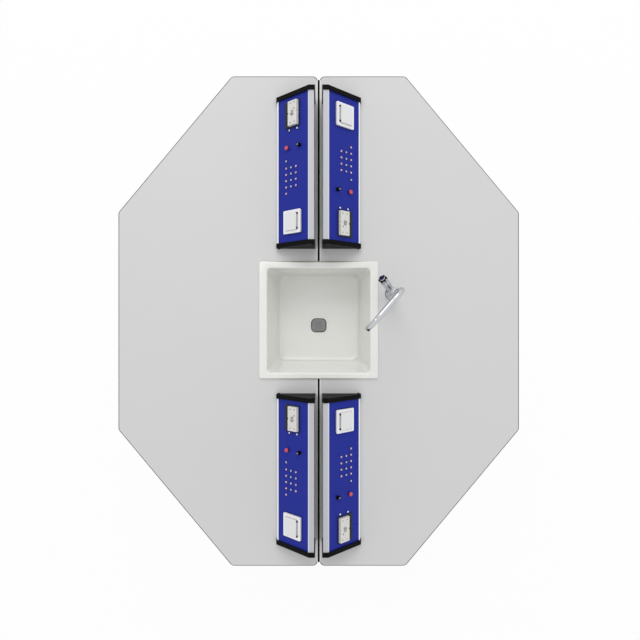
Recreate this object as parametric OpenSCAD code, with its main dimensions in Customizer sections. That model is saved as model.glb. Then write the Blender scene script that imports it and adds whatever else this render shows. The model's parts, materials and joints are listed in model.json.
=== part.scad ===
// Octagonal laboratory table for two sides: two half tops, a stoneware sink with a swan-neck tap
// across the seam, four sloping power consoles, a tube frame on four legs and a hung sink cabinet.
// X runs across the table, Y along the seam, Z up. The origin is on the floor under the centre.

/* [Worktop] */
// Width of the whole top, across the seam
top_w = 1504; // [1440:2:1700]
// Length of the whole top, along the seam
top_l = 1838; // [1800:2:2000]
// Height of the working surface above the floor
top_h = 900; // [820:10:950]
// Thickness of the laminate
top_t = 20; // [16:1:30]
// Gap between the two halves
seam = 6; // [2:1:12]
// Length of each end edge, across both halves
end_edge = 652; // [560:2:760]
// Length of each side edge
side_edge = 816; // [700:2:900]
// Radius of the top's corners
corner_r = 20; // [8:1:40]

/* [Sink] */
// Width of the sink's rim, across the seam
sink_w = 445; // [440:1:460]
// Length of the sink's rim, along the seam
sink_l = 439; // [434:1:456]
// How far the rim's middle lies from the table's middle, along the seam
rim_shift = 4.5; // [0:0.5:6]
// Height of the rim above the worktop
rim_h = 8; // [5:1:14]
// Width of the bowl's mouth, across the seam
bowl_w = 385; // [370:1:394]
// Length of the bowl's mouth, along the seam
bowl_l = 389; // [370:1:392]
// How far the mouth's middle lies from the table's middle, along the seam
mouth_shift = 1.5; // [0:0.5:3]
// Width of the bowl's floor
floor_w = 334; // [300:1:350]
// Length of the bowl's floor
floor_l = 346; // [300:1:350]
// How far the floor's middle lies from the mouth's middle, along the seam
floor_shift = 11; // [0:1:14]
// Depth of the bowl below the worktop
bowl_depth = 200; // [160:5:240]
// Thickness of the stoneware wall
bowl_wall = 12; // [10:1:14]
// Thickness of the stoneware floor
bowl_floor_t = 14; // [10:1:20]
// Radius of the rim's outer corners
rim_r = 8; // [4:1:20]
// Where the drain lies along the seam
drain_y = -18; // [-40:1:40]
// Radius of the drain hole
drain_r = 26; // [24:1:30]
// Width of the strainer plate, across the seam
strainer_w = 62; // [60:1:80]
// Length of the strainer plate, along the seam
strainer_l = 56; // [56:1:76]
// Thickness of the strainer plate
strainer_t = 3; // [2:0.5:6]

/* [Waste] */
// Length of the outlet tube below the bowl
outlet_drop = 62; // [50:2:80]
// Radius of the trap's bottle
bottle_r = 42; // [36:1:50]
// Height of the trap's bottle
bottle_h = 115; // [90:5:140]
// Radius of the standing waste pipe
pipe_r = 25; // [22:1:28]
// Where the standing pipe lies along the seam
pipe_y = 150; // [125:1:170]
// Height of the pipes' lower ends above the floor
pipe_foot = 30; // [25:1:60]
// Radius of the waste pipe's lower spigot
spigot_r = 20; // [16:1:21]
// Length of the pipes' lower spigots
spigot_l = 50; // [30:1:60]

/* [Tap] */
// Gap between the sink's rim and the tap's axis
tap_off = 51; // [46:0.5:60]
// Where the tap stands along the seam
tap_y = 103; // [0:1:140]
// Radius of the tap's base flange
flange_r = 24; // [18:1:26]
// Height of the tap's base flange
flange_h = 6; // [4:1:10]
// Radius of the tap's column
column_r = 15; // [14:0.5:18]
// Height of the column
column_h = 98; // [90:1:115]
// Direction of the valve branch, in degrees from +X
valve_dir = 135; // [90:1:150]
// Tilt of the valve branch above the level
valve_tilt = 45; // [35:1:55]
// Height at which the valve branch leaves the column's axis
valve_z = 40; // [34:1:48]
// Length of the valve branch from the column's axis
valve_l = 81; // [76:1:95]
// Radius of the valve's bonnet
bonnet_r = 14; // [12:0.5:16]
// Direction of the spout, in degrees from +X
spout_dir = 229; // [180:1:260]
// Radius of the swan neck's two bends
bend_r = 40; // [34:1:46]
// Height of the swan neck's top above the worktop
spout_top = 279; // [272:1:340]
// Distance of the nozzle from the column's axis
spout_reach = 169; // [150:1:200]
// Height of the nozzle's mouth above the worktop
nozzle_z = 219; // [200:1:220]
// Radius of the spout tube
spout_r = 10; // [9.5:0.5:11]
// Radius of the narrower outlet bend
tip_r = 9; // [8:0.5:9]
// Wall of the spout tube
spout_wall = 1.5; // [1:0.5:3]
// Radius of the tap handle's hub
handle_r = 13; // [12:0.5:16]
// Thickness of the tap handle
handle_t = 14; // [12:1:20]
// Radius of the water riser
riser_r = 7.5; // [6:0.5:9]

/* [Consoles] */
// Distance of a console's middle from the table's middle, along the seam
console_y = 550; // [535:1:590]
// Length of a console between its end caps
console_l = 525; // [520:5:530]
// Depth of the extruded housing
console_d = 138; // [136:1:150]
// Height of the housing at its back
console_h = 124; // [120:1:140]
// Height of the housing at its front
console_front_h = 17.5; // [16:0.5:24]
// Depth of the level strip along the housing's top
console_flat = 17; // [14:1:20]
// Distance of the housing's back from the middle of the seam
console_back = 16; // [14:1:24]
// Wall of the housing
housing_wall = 3; // [2.5:0.5:4]
// Thickness of the coloured panel
panel_t = 3; // [2:0.5:4]
// Thickness of an end cap, along the console
cap_t = 16.6; // [12:0.2:20]
// Wall of an end cap's end plate
cap_plate = 4; // [3:0.5:6]
// How far an end cap stands out past the housing
cap_lip = 3.5; // [2.5:0.5:5]
// Side of the square socket plate
plate_w = 84; // [80:1:88]
// Height of the socket plate above the panel
plate_h = 8; // [6:1:10]
// Width of the circuit breaker
breaker_w = 43; // [36:1:46]
// Length of the circuit breaker
breaker_l = 87; // [80:1:90]
// Height of the circuit breaker above the panel
breaker_h = 14; // [12:1:18]
// Radius of the red push button
button_r = 8; // [7.5:0.5:10]
// Travel of the red push button
button_travel = 3; // [2:0.5:4]
// Radius of the black knob
knob_r = 7; // [6.5:0.5:9]
// Height of the black knob above its collar
knob_h = 11; // [8:0.5:14]
// Radius of a jack's collar
jack_r = 5.5; // [5:0.5:8]
// Pitch of the jacks along the console
jack_pitch_y = 23; // [20:0.5:24]
// Pitch of the jacks down the slope
jack_pitch_s = 24.5; // [20:0.5:26]

/* [Frame] */
// Distance between the legs' axes, across the seam
leg_span_x = 940; // [880:10:980]
// Distance between the legs' axes, along the seam
leg_span_y = 1240; // [1180:10:1260]
// Side of the square leg tube
leg_w = 60; // [50:1:70]
// Wall of the steel tubes
tube_wall = 2.5; // [2:0.5:4]
// Width of the rails
rail_w = 30; // [25:1:40]
// Height of the rails
rail_h = 50; // [40:1:60]
// Width of the rail under the seam
seam_rail_w = 60; // [40:1:80]
// Height of the legs' lower ends above the floor
leg_foot = 22; // [20:1:40]
// Radius of a levelling foot's pad
pad_r = 30; // [20:1:35]
// Height of a levelling foot's pad
pad_h = 10; // [6:1:14]
// Radius of a levelling foot's stem
stem_r = 6; // [5:0.5:8]
// Travel of a levelling foot
foot_travel = 25; // [10:1:30]

/* [Cabinet] */
// Width of the cabinet, across the seam
cabinet_w = 640; // [620:2:680]
// Length of the cabinet, along the seam
cabinet_l = 524; // [500:2:560]
// Height of the cabinet's underside above the floor
cabinet_z = 120; // [90:5:200]
// Thickness of the cabinet's boards
board_t = 16; // [12:1:19]
// Gap round the door
door_gap = 2; // [1:0.5:4]
// Height by which the door stays below the frame's rails
door_drop = 10; // [6:1:30]
// Length of the door handle
pull_l = 160; // [100:5:220]
// Finger room behind the door handle
pull_room = 26; // [20:1:35]

/* [Hidden] */
$fn = 48;
running = 0.06;     // radial play of a part that turns or slides in its bore
clear = 0.3;        // play between parts that only stand next to each other
weld = 0.1;         // gap that keeps welded tubes and glued boards separate solids

top_under = top_h - top_t;

// Sink and waste
sink_play = 3;
cut_w = bowl_w + 2 * (bowl_wall + sink_play);
cut_l = bowl_l + 2 * (bowl_wall + sink_play);
floor_z = top_h - bowl_depth;
bowl_under = floor_z - bowl_floor_t;
mouth_r = 14;
bowl_r = 28;
bowl_fillet = 20;
outlet_r = drain_r - 0.5;
outlet_wall = 3.5;
strainer_r = 18;
strainer_neck = 8;
strainer_pitch = 7.4;
strainer_hole_r = 2.4;
outlet_end = bowl_under - outlet_drop;
lock_nut_r = 38;
lock_nut_h = 14;
neck_r = outlet_r + 0.4;
neck_wall = 4.5;
neck_h = 26;
neck_grip = 18;
neck_top = outlet_end + neck_grip;
bottle_top = neck_top - neck_h;
bottle_wall = 3;
branch_z = bottle_top - 26;
branch_r = 18;
branch_wall = 2.5;
branch_socket_r = branch_r + 0.4;
branch_socket_l = 30;
branch_seat = 18;
branch_end = pipe_y - pipe_r - branch_socket_l + branch_seat;
pipe_wall = 3;
spigot_wall = 2.5;
pipe_top = branch_z + 34;

// Tap
tap_x = sink_w / 2 + tap_off;
bend_z = spout_top - bend_r - spout_r;
spout_seat = 20;            // how deep the spout stands in the column
spout_ring_h = 10;
column_band_h = 16;
band_step = 1.5;            // how far the column's band stands out
spout_ring_w = 3;
riser_wall = 1.5;
spigot_step = 1;            // how much thinner the riser's lower spigot is
shank_r = 11;
shank_l = top_t + 34;
tap_hole_r = shank_r + 1;
tap_nut_r = 20;
tap_nut_h = 10;
bonnet_l = 34;
branch_body_r = bonnet_r - 2.5;
spindle_r = 4;
spindle_seat = 14;
handle_gap = 1;
lobes = 6;
lobe_r = 4.5;
lobe_t = 8;
button_cap_r = handle_r - 2.5;
button_cap_t = 4.4;
riser_top = top_h - shank_l;

// Consoles
slope = atan2(console_h - console_front_h, console_d - console_flat);
slope_l = norm([console_h - console_front_h, console_d - console_flat]);
housing_l = console_l + 2 * (cap_t - cap_plate) - 2 * clear;
lip = 2;                    // cover of the housing over the panel
upper_lip = 5.7;
lower_lip = 6.5;
rail_depth = lip + panel_t + 2.5;
panel_z = -lip;             // the panel's face, below the slope line
panel_in = 2;               // how deep the panel sits in its grooves
boss_r = 4.5;
screw_r = 2;
screw_l = 14;
screw_head_r = 3.6;
screw_head_h = 2.4;
cap_play = 0.1;             // play between an end cap and the housing inside it
plate_r = 4;
plate_s = 80.5;
plate_y = 191;
lid_s = 52;                 // the lid's hinge line
lid_l = 58;
lid_w = 62;
lid_t = 3.7;
lid_pin_r = 1.2;
lid_barrel_r = 2.2;
lid_from = 2.9;             // distance of the lid's plate from its hinge line
lid_neck = 4;               // reach of the stretch that joins the plate to the barrel
lug_from = 23.5;
lug_w = 6;
lug_r = 2.4;
lug_h = 2.5;                // height of the lid's hinge line above the plate
cup_r = 19.5;
cup_depth = 15;
insert_r = 22;
insert_depth = 32;
pin_off = 9.5;              // distance of the plug's pin holes from the cup's middle
pin_hole_r = 2.5;
pin_hole_l = 18;
breaker_s = 73;
breaker_y = -198.5;
breaker_depth = 43;
bezel_t = 3.5;
bezel_side = 4;
bezel_apron = 24;
lever_w = 13;
lever_r = 5.5;
lever_t = 4;
lever_out = 5;              // how far the lever stands out of the breaker, upright
lever_lean = 35;
lever_sink = 5;             // depth of the lever's axis below the breaker's face
lever_n = panel_z + breaker_h - lever_sink;
lever_slot = 18;
notch_r = 3.2;
module_gap = 0.8;           // groove between the breaker's two modules
module_groove = 1.2;        // and its depth
terminal_r = 3;
terminal_depth = 5;
terminal_in = 9;            // distance of a terminal from the breaker's end
button_s = 108;
button_y = -80;
button_t = 5;
push_r = 5;
push_l = 22;
knob_s = 47.5;
knob_y = -79.5;
knob_cap_r = 4.8;
knob_cap_t = 0.6;
knob_mark_w = 1.6;
shaft_r = 3;
shaft_l = 16;
collar_r = 6.9;
collar_h = 1.5;
sleeve_wall = 1.5;
sleeve_l = 6;
jack_s = 65.5;              // the column of jacks nearest the back
jack_y = 27;                // the middle of the block of jacks
jack_last_y = -34;          // the jack that stands by itself
jack_h = 1.6;
jack_bore_r = 2;
jack_contact_r = 3;
jack_contact_h = 2.6;
jack_body_r = 4.2;
jack_body_l = 20;
lamp_s = [60, 99];
lamp_y = -143.5;
gland_x = 110;
gland_y = 130;
gland_r = 12.5;
gland_nut_r = 17;
gland_nut_h = 8;
supply_w = 54;
supply_l = 130;
supply_h = 36;

// Frame
leg_x = leg_span_x / 2;
leg_y = leg_span_y / 2;
rail_z = top_under - rail_h;
cross_y = cabinet_l / 2 + rail_w / 2;
insert_h = 24;
hex_r = 13.5;
stem_top = leg_foot + insert_h + foot_travel + 20;

// Cabinet
cab_x = cabinet_w / 2;
cab_y = cabinet_l / 2;
door_top = rail_z - door_drop;
door_x = -cab_x - door_gap;
door_y = cab_y - door_gap;
hinge_r = 5;
hinge_pin_r = 2.5;
leaf_t = 3;
hinge_x = door_x - board_t - leaf_t;
hinge_y = -cab_y - leaf_t;
hinge_leaf_l = 51;
door_leaf_l = 35;
hinge_h = 60;
hinge_at = [0.16, 0.84];
pull_r = 5;
pull_y = door_y - 40;
pull_drop = 130;

// Positions of what repeats
CONSOLES = [["ne", 1, 1], ["nw", -1, 1], ["se", 1, -1], ["sw", -1, -1]];
PIECES = ["housing", "panel", "socket", "lid", "breaker", "lever", "button", "knob"];
JACKS = concat(
    [for (row = [-1.5:1:1.5], column = [0, 1]) [jack_s + column * jack_pitch_s, jack_y + row * jack_pitch_y]],
    [for (row = [-1.5:1:2.5]) [jack_s + 2 * jack_pitch_s, jack_y + row * jack_pitch_y]],
    [[jack_s + 2 * jack_pitch_s, jack_last_y]],
    [for (s = lamp_s) [s, lamp_y]]
);

// Shared shapes

function unit(v) = v / norm(v);

// A convex outline, anticlockwise, with every corner rounded to radius r
function rounded(points, r, steps = 6) = [
    for (i = [0:len(points) - 1])
        let (v = points[i],
             a = unit(points[(i + len(points) - 1) % len(points)] - v),
             b = unit(points[(i + 1) % len(points)] - v),
             half = acos(a * b) / 2,
             c = v + unit(a + b) * r / sin(half),
             from = v + a * r / tan(half) - c,
             start = atan2(from.y, from.x))
        for (k = [0:steps])
            let (angle = start + (180 - 2 * half) * k / steps)
            c + r * [cos(angle), sin(angle)]
];

function box_outline(w, l, r) = rounded([[-w, -l] / 2, [w, -l] / 2, [w, l] / 2, [-w, l] / 2], r);

// An upright slab with rounded corners, its foot at z = 0
module slab(w, l, h, r) {
    linear_extrude(h) polygon(box_outline(w, l, r));
}

// A box centred in X and Y, its foot at z = 0
module block(w, l, h) {
    translate([-w / 2, -l / 2, 0]) cube([w, l, h]);
}

module tube(r, wall, h) {
    difference() {
        cylinder(r = r, h = h);
        translate([0, 0, -1]) cylinder(r = r - wall, h = h + 2);
    }
}

// A hollow square tube with its length along Z
module square_tube(w, l, h) {
    difference() {
        block(w, l, h);
        translate([0, 0, -1]) block(w - 2 * tube_wall, l - 2 * tube_wall, h + 2);
    }
}

// A rail along X from x0 to x1, under the worktop at y
module rail_x(x0, x1, y, w) {
    translate([x0 + weld, y, rail_z + rail_h / 2]) rotate([0, 90, 0])
        square_tube(rail_h, w, x1 - x0 - 2 * weld);
}

// A rail along Y from y0 to y1, under the worktop at x
module rail_y(y0, y1, x, w) {
    translate([x, y1 - weld, rail_z + rail_h / 2]) rotate([90, 0, 0])
        square_tube(w, rail_h, y1 - y0 - 2 * weld);
}

// Worktop

module top_outline() {
    polygon(rounded([
        [seam / 2, -top_l / 2], [end_edge / 2, -top_l / 2], [top_w / 2, -side_edge / 2],
        [top_w / 2, side_edge / 2], [end_edge / 2, top_l / 2], [seam / 2, top_l / 2]
    ], corner_r));
}

module half_top(side) {
    color("gainsboro") difference() {
        translate([0, 0, top_under]) linear_extrude(top_t)
            mirror([side > 0 ? 0 : 1, 0, 0]) top_outline();
        translate([0, mouth_shift, top_under - 1]) block(cut_w, cut_l, top_t + 2);
        for (c = CONSOLES)
            if (c[1] == side) at_console(c)
                translate([gland_x, gland_y, -top_t - 1]) cylinder(r = gland_r + clear, h = top_t + 2);
        if (side > 0)
            translate([tap_x, tap_y, top_under - 1]) cylinder(r = tap_hole_r, h = top_t + 2);
    }
}

// Sink and waste

module sink() {
    floor_y = mouth_shift + floor_shift;
    color([0.87, 0.87, 0.84]) difference() {
        union() {
            translate([0, rim_shift, top_h]) slab(sink_w, sink_l, rim_h, rim_r);
            hull() {
                translate([0, mouth_shift, top_h])
                    slab(bowl_w + 2 * bowl_wall, bowl_l + 2 * bowl_wall, 1, bowl_r);
                translate([0, floor_y, bowl_under])
                    slab(floor_w + 2 * bowl_wall, floor_l + 2 * bowl_wall, 1, bowl_r);
            }
        }
        hull() {
            translate([0, mouth_shift, top_h + rim_h]) slab(bowl_w, bowl_l, 1, mouth_r);
            translate([0, floor_y, floor_z + bowl_fillet]) slab(floor_w, floor_l, 1, bowl_r);
            translate([0, floor_y, floor_z])
                slab(floor_w - bowl_fillet, floor_l - bowl_fillet, 1, bowl_r - bowl_fillet / 2);
        }
        translate([0, drain_y, bowl_under - 1]) cylinder(r = drain_r, h = bowl_floor_t + 2);
    }
}

module sink_strainer() {
    color("gray") translate([0, drain_y, floor_z]) difference() {
        union() {
            slab(strainer_w, strainer_l, strainer_t, strainer_r);
            translate([0, 0, -strainer_neck])
                cylinder(r = outlet_r - outlet_wall - clear, h = strainer_neck + 1);
        }
        for (i = [-2:2], j = [-2:2])
            translate([i * strainer_pitch, j * strainer_pitch, -strainer_neck - 1])
                cylinder(r = strainer_hole_r, h = strainer_neck + strainer_t + 2);
    }
}

module waste_outlet() {
    color("dimgray") translate([0, drain_y, 0]) {
        translate([0, 0, outlet_end]) tube(outlet_r, outlet_wall, floor_z - outlet_end);
        translate([0, 0, bowl_under - lock_nut_h]) difference() {
            cylinder(r = lock_nut_r, h = lock_nut_h, $fn = 8);
            translate([0, 0, -1]) cylinder(r = outlet_r + 0.1, h = lock_nut_h + 2);
        }
    }
}

module bottle_trap() {
    color("whitesmoke") translate([0, drain_y, 0]) difference() {
        union() {
            translate([0, 0, bottle_top - bottle_h]) cylinder(r = bottle_r, h = bottle_h);
            translate([0, 0, bottle_top - 1]) cylinder(r = neck_r + neck_wall, h = neck_h + 1);
            translate([0, 0, branch_z]) rotate([-90, 0, 0])
                cylinder(r = branch_r, h = branch_end - drain_y);
        }
        translate([0, 0, bottle_top - bottle_h + bottle_wall])
            cylinder(r = bottle_r - bottle_wall, h = bottle_h - 2 * bottle_wall);
        translate([0, 0, bottle_top - 2 * bottle_wall])
            cylinder(r = neck_r, h = neck_h + 2 * bottle_wall + 1);
        translate([0, 0, branch_z]) rotate([-90, 0, 0])
            cylinder(r = branch_r - branch_wall, h = branch_end - drain_y + 1);
    }
}

module waste_pipe() {
    shoulder = pipe_foot + spigot_l;
    color("whitesmoke") translate([0, pipe_y, 0]) difference() {
        union() {
            translate([0, 0, shoulder]) cylinder(r = pipe_r, h = pipe_top - shoulder);
            translate([0, 0, pipe_foot]) cylinder(r = spigot_r, h = spigot_l + 1);
            translate([0, 0, branch_z]) rotate([90, 0, 0])
                cylinder(r = branch_socket_r + pipe_wall, h = pipe_r + branch_socket_l);
        }
        translate([0, 0, shoulder + pipe_wall])
            cylinder(r = pipe_r - pipe_wall, h = pipe_top - shoulder - 2 * pipe_wall);
        translate([0, 0, pipe_foot - 1])
            cylinder(r = spigot_r - spigot_wall, h = spigot_l + pipe_wall + 2);
        translate([0, 0, branch_z]) rotate([90, 0, 0])
            cylinder(r = branch_socket_r, h = pipe_r + branch_socket_l + 1);
    }
}

// Tap

module at_tap() {
    translate([tap_x, tap_y, top_h]) children();
}

// The frame of the valve branch: Z along the spindle, out of the column
module at_valve() {
    at_tap() translate([0, 0, valve_z]) rotate([0, 90 - valve_tilt, valve_dir]) children();
}

module tap_pillar() {
    color("silver") difference() {
        union() {
            at_tap() {
                cylinder(r = flange_r, h = flange_h);
                cylinder(r = column_r, h = column_h);
                translate([0, 0, column_h - column_band_h])
                    cylinder(r = column_r + band_step, h = column_band_h);
                translate([0, 0, -shank_l]) cylinder(r = shank_r, h = shank_l + 1);
            }
            at_valve() {
                cylinder(r = branch_body_r, h = valve_l);
                translate([0, 0, valve_l - bonnet_l]) cylinder(r = bonnet_r, h = bonnet_l);
            }
        }
        at_tap() translate([0, 0, column_h - spout_seat])
            cylinder(r = spout_r + running, h = spout_seat + 1);
        at_valve() translate([0, 0, valve_l - spindle_seat - 1])
            cylinder(r = spindle_r + running, h = spindle_seat + 2);
    }
}

// A quarter of a ring, from straight up at its foot to level along +X at its top
module quarter_bend(r) {
    translate([bend_r, 0, 0]) rotate([90, 0, 180]) rotate_extrude(angle = 90)
        translate([bend_r, 0]) circle(r = r);
}

// The swan neck's line: up, over and level with radius r, then down with radius tip. It runs past
// both its ends by over
module swan_neck(r, tip, over = 0) {
    foot = column_h - spout_seat + clear - over;
    level_z = bend_z + bend_r;
    translate([0, 0, foot]) cylinder(r = r, h = bend_z - foot);
    translate([0, 0, bend_z]) quarter_bend(r);
    translate([bend_r, 0, level_z]) rotate([0, 90, 0]) cylinder(r = r, h = spout_reach - 2 * bend_r);
    translate([spout_reach, 0, bend_z]) mirror([1, 0, 0]) quarter_bend(tip);
    translate([spout_reach, 0, nozzle_z - over]) cylinder(r = tip, h = bend_z - nozzle_z + over);
}

module tap_spout() {
    color("silver") at_tap() rotate([0, 0, spout_dir]) difference() {
        union() {
            swan_neck(spout_r, tip_r);
            translate([0, 0, column_h + clear]) cylinder(r = spout_r + spout_ring_w, h = spout_ring_h);
        }
        swan_neck(spout_r - spout_wall, tip_r - spout_wall, over = 1);
    }
}

module tap_handle() {
    color("midnightblue") at_valve() {
        translate([0, 0, valve_l - spindle_seat])
            cylinder(r = spindle_r, h = spindle_seat + handle_gap + 1);
        translate([0, 0, valve_l + handle_gap]) {
            cylinder(r = handle_r, h = handle_t);
            for (i = [1:lobes])
                rotate([0, 0, i * 360 / lobes]) translate([handle_r - 1, 0, handle_t - lobe_t])
                    cylinder(r = lobe_r, h = lobe_t);
            cylinder(r = button_cap_r, h = handle_t + button_cap_t);
        }
    }
}

module tap_supply() {
    color("peru") {
        at_tap() translate([0, 0, -top_t - tap_nut_h]) difference() {
            cylinder(r = tap_nut_r, h = tap_nut_h, $fn = 6);
            translate([0, 0, -1]) cylinder(r = shank_r + 0.1, h = tap_nut_h + 2);
        }
        translate([tap_x, tap_y, 0]) {
            translate([0, 0, pipe_foot + spigot_l])
                tube(riser_r, riser_wall, riser_top - pipe_foot - spigot_l);
            translate([0, 0, pipe_foot]) tube(riser_r - spigot_step, riser_wall, spigot_l);
        }
    }
}

// Frame

module top_frame() {
    color("lightgray") {
        for (side = [-1, 1]) {
            rail_y(-leg_y + leg_w / 2, leg_y - leg_w / 2, side * leg_x, rail_w);
            rail_x(-leg_x + leg_w / 2, leg_x - leg_w / 2, side * leg_y, rail_w);
            rail_x(-leg_x + rail_w / 2, leg_x - rail_w / 2, side * cross_y, rail_w);
        }
        rail_y(cross_y + rail_w / 2, leg_y - rail_w / 2, 0, seam_rail_w);
        rail_y(-leg_y + rail_w / 2, -cross_y - rail_w / 2, 0, seam_rail_w);
    }
}

module at_leg(c) {
    translate([c[1] * leg_x, c[2] * leg_y, 0]) children();
}

module legs() {
    color("lightgray") for (c = CONSOLES)
        at_leg(c) translate([0, 0, leg_foot]) square_tube(leg_w, leg_w, top_under - leg_foot);
}

module leg_inserts() {
    plug = leg_w - 2 * tube_wall;
    color("black") for (c = CONSOLES)
        at_leg(c) translate([0, 0, leg_foot]) difference() {
            block(plug, plug, insert_h);
            translate([0, 0, -1]) cylinder(r = stem_r + running, h = insert_h + 2);
        }
}

module foot(c) {
    color("dimgray") at_leg(c) {
        cylinder(r = pad_r, h = pad_h);
        cylinder(r = hex_r, h = leg_foot - clear, $fn = 6);
        cylinder(r = stem_r, h = stem_top);
    }
}

// Cabinet

module cabinet_panels() {
    between = cabinet_l - 2 * board_t - 2 * weld;
    y0 = -cab_y + board_t + weld;
    color("whitesmoke") {
        for (side = [-1, 1])
            translate([-cab_x, side > 0 ? cab_y - board_t : -cab_y, cabinet_z])
                cube([cabinet_w, board_t, top_under - cabinet_z]);
        translate([-cab_x, y0, door_top]) cube([board_t, between, top_under - door_top]);
        difference() {
            union() {
                translate([-cab_x, y0, cabinet_z])
                    cube([cabinet_w - board_t - weld, between, board_t]);
                translate([cab_x - board_t, y0, cabinet_z])
                    cube([board_t, between, top_under - cabinet_z]);
            }
            translate([0, pipe_y, cabinet_z - 1]) cylinder(r = pipe_r + 1, h = board_t + 2);
            translate([tap_x, tap_y, cabinet_z - 1])
                cylinder(r = riser_r + 1, h = top_under - cabinet_z + 2);
            translate([tap_x, tap_y, riser_top - 1])
                cylinder(r = tap_nut_r + 2, h = top_under - riser_top + 2);
        }
    }
}

// Heights of the two door hinges' lower ends
function hinge_z(share) = cabinet_z + share * (door_top - cabinet_z) - hinge_h / 2;

module cabinet_hinges() {
    third = hinge_h / 3;
    color("silver") for (share = hinge_at)
        translate([hinge_x, hinge_y, hinge_z(share)]) {
            for (z = [0, 2 * third])
                translate([0, 0, z]) {
                    cylinder(r = hinge_r, h = third);
                    cube([hinge_leaf_l, leaf_t, third]);
                }
            cylinder(r = hinge_pin_r, h = hinge_h);
        }
}

module cabinet_door() {
    third = hinge_h / 3;
    color("whitesmoke") difference() {
        union() {
            translate([door_x - board_t, -door_y, cabinet_z])
                cube([board_t, 2 * door_y, door_top - door_gap - cabinet_z]);
            for (share = hinge_at)
                translate([hinge_x, hinge_y, hinge_z(share) + third + clear]) {
                    cylinder(r = hinge_r, h = third - 2 * clear);
                    cube([leaf_t, door_leaf_l, third - 2 * clear]);
                }
        }
        for (share = hinge_at)
            translate([hinge_x, hinge_y, hinge_z(share)])
                cylinder(r = hinge_pin_r + running, h = hinge_h);
    }
}

module door_handle() {
    post_x = door_x - board_t;
    color("silver") translate([post_x, pull_y, door_top - pull_drop - pull_l / 2]) {
        for (side = [-1, 1])
            translate([0, 0, side * (pull_l / 2 - pull_r)]) rotate([0, -90, 0])
                cylinder(r = pull_r, h = pull_room + pull_r);
        translate([-pull_room - pull_r, 0, -pull_l / 2]) cylinder(r = pull_r, h = pull_l);
    }
}

// Consoles. Each is drawn for the right side of the seam, with its middle at y = 0

module at_console(c) {
    translate([0, c[2] * console_y, top_h]) rotate([0, 0, c[1] > 0 ? 0 : 180]) children();
}

// The slope's frame: X down the slope, Y along the console, Z out of the panel
module on_slope() {
    translate([console_back + console_flat, 0, console_h]) rotate([0, slope, 0]) children();
}

// The section of the housing, grown by d on every side but the foot
function section(d) =
    let (front = console_back + console_d + d,
         top = console_h + d,
         run = (front - console_back - console_flat - d * sin(slope)) / cos(slope))
    [[console_back - d, 0], [front, 0], [front, console_h + d * cos(slope) - run * sin(slope)],
     [console_back + console_flat + d * tan(slope / 2), top], [console_back - d, top]];

// Draws a section of the console's XZ plane along Y, centred
module along(l) {
    translate([0, l / 2, 0]) rotate([90, 0, 0]) linear_extrude(l) children();
}

// The two screw channels, as points of the section
function channels() = [
    [console_back + housing_wall + boss_r - 1.5, console_h - housing_wall - boss_r - 3],
    [console_back + console_d - housing_wall - boss_r + 1.5, housing_wall + boss_r - 1]
];

module housing_section() {
    difference() {
        union() {
            difference() {
                polygon(section(0));
                polygon(concat([[console_back + housing_wall, housing_wall],
                                [console_back + console_d - housing_wall, housing_wall]],
                               [for (i = [2:4]) section(-housing_wall)[i]]));
            }
            intersection() {
                polygon(section(0));
                translate([console_back + console_flat, console_h]) rotate(-slope) {
                    translate([-1, -rail_depth]) square([upper_lip + 1, rail_depth]);
                    translate([slope_l - lower_lip, -rail_depth]) square([lower_lip + 4, rail_depth]);
                }
            }
            for (p = channels()) translate(p) circle(r = boss_r);
        }
        translate([console_back + console_flat, console_h]) rotate(-slope) {
            translate([upper_lip, -rail_depth - 3])
                square([slope_l - upper_lip - lower_lip, rail_depth + 6]);
            translate([upper_lip - panel_in - clear, -lip - panel_t - 0.1])
                square([slope_l - upper_lip - lower_lip + 2 * panel_in + 2 * clear, panel_t + 0.2]);
        }
        for (p = channels()) translate(p) circle(r = screw_r);
    }
}

module housing(c) {
    color("silver") at_console(c) difference() {
        along(housing_l) housing_section();
        translate([gland_x, gland_y, -1]) cylinder(r = gland_r + clear, h = housing_wall + 2);
    }
}

module panel(c) {
    color([0.16, 0.18, 0.58]) at_console(c) on_slope() difference() {
        translate([upper_lip - panel_in, -housing_l / 2, panel_z - panel_t])
            cube([slope_l - upper_lip - lower_lip + 2 * panel_in, housing_l, panel_t]);
        translate([breaker_s, breaker_y, -10])
            block(breaker_w + 2 * clear, breaker_l + 2 * clear, 20);
        translate([plate_s, plate_y, -10]) cylinder(r = insert_r + clear, h = 20);
        translate([button_s, button_y, -10]) cylinder(r = push_r + sleeve_wall + 0.1, h = 20);
        translate([knob_s, knob_y, -10]) cylinder(r = shaft_r + sleeve_wall + 0.1, h = 20);
        for (p = JACKS) translate([p.x, p.y, -10]) cylinder(r = jack_body_r + 0.1, h = 20);
    }
}

module socket(c) {
    face = panel_z + plate_h;
    color("white") at_console(c) on_slope() {
        difference() {
            translate([plate_s, plate_y, panel_z]) slab(plate_w, plate_w, plate_h, plate_r);
            translate([plate_s, plate_y, panel_z - 1]) cylinder(r = insert_r, h = plate_h + 2);
        }
        translate([plate_s, plate_y, 0]) difference() {
            translate([0, 0, panel_z - insert_depth])
                cylinder(r = insert_r - 0.1, h = insert_depth + plate_h);
            translate([0, 0, face - cup_depth]) cylinder(r = cup_r, h = cup_depth + 1);
            for (side = [-1, 1])
                translate([0, side * pin_off, face - cup_depth - pin_hole_l])
                    cylinder(r = pin_hole_r, h = pin_hole_l + 2);
        }
        for (side = [-1, 1])
            translate([lid_s, plate_y + side * (lug_from + lug_w / 2), face]) lid_lug();
    }
}

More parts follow.
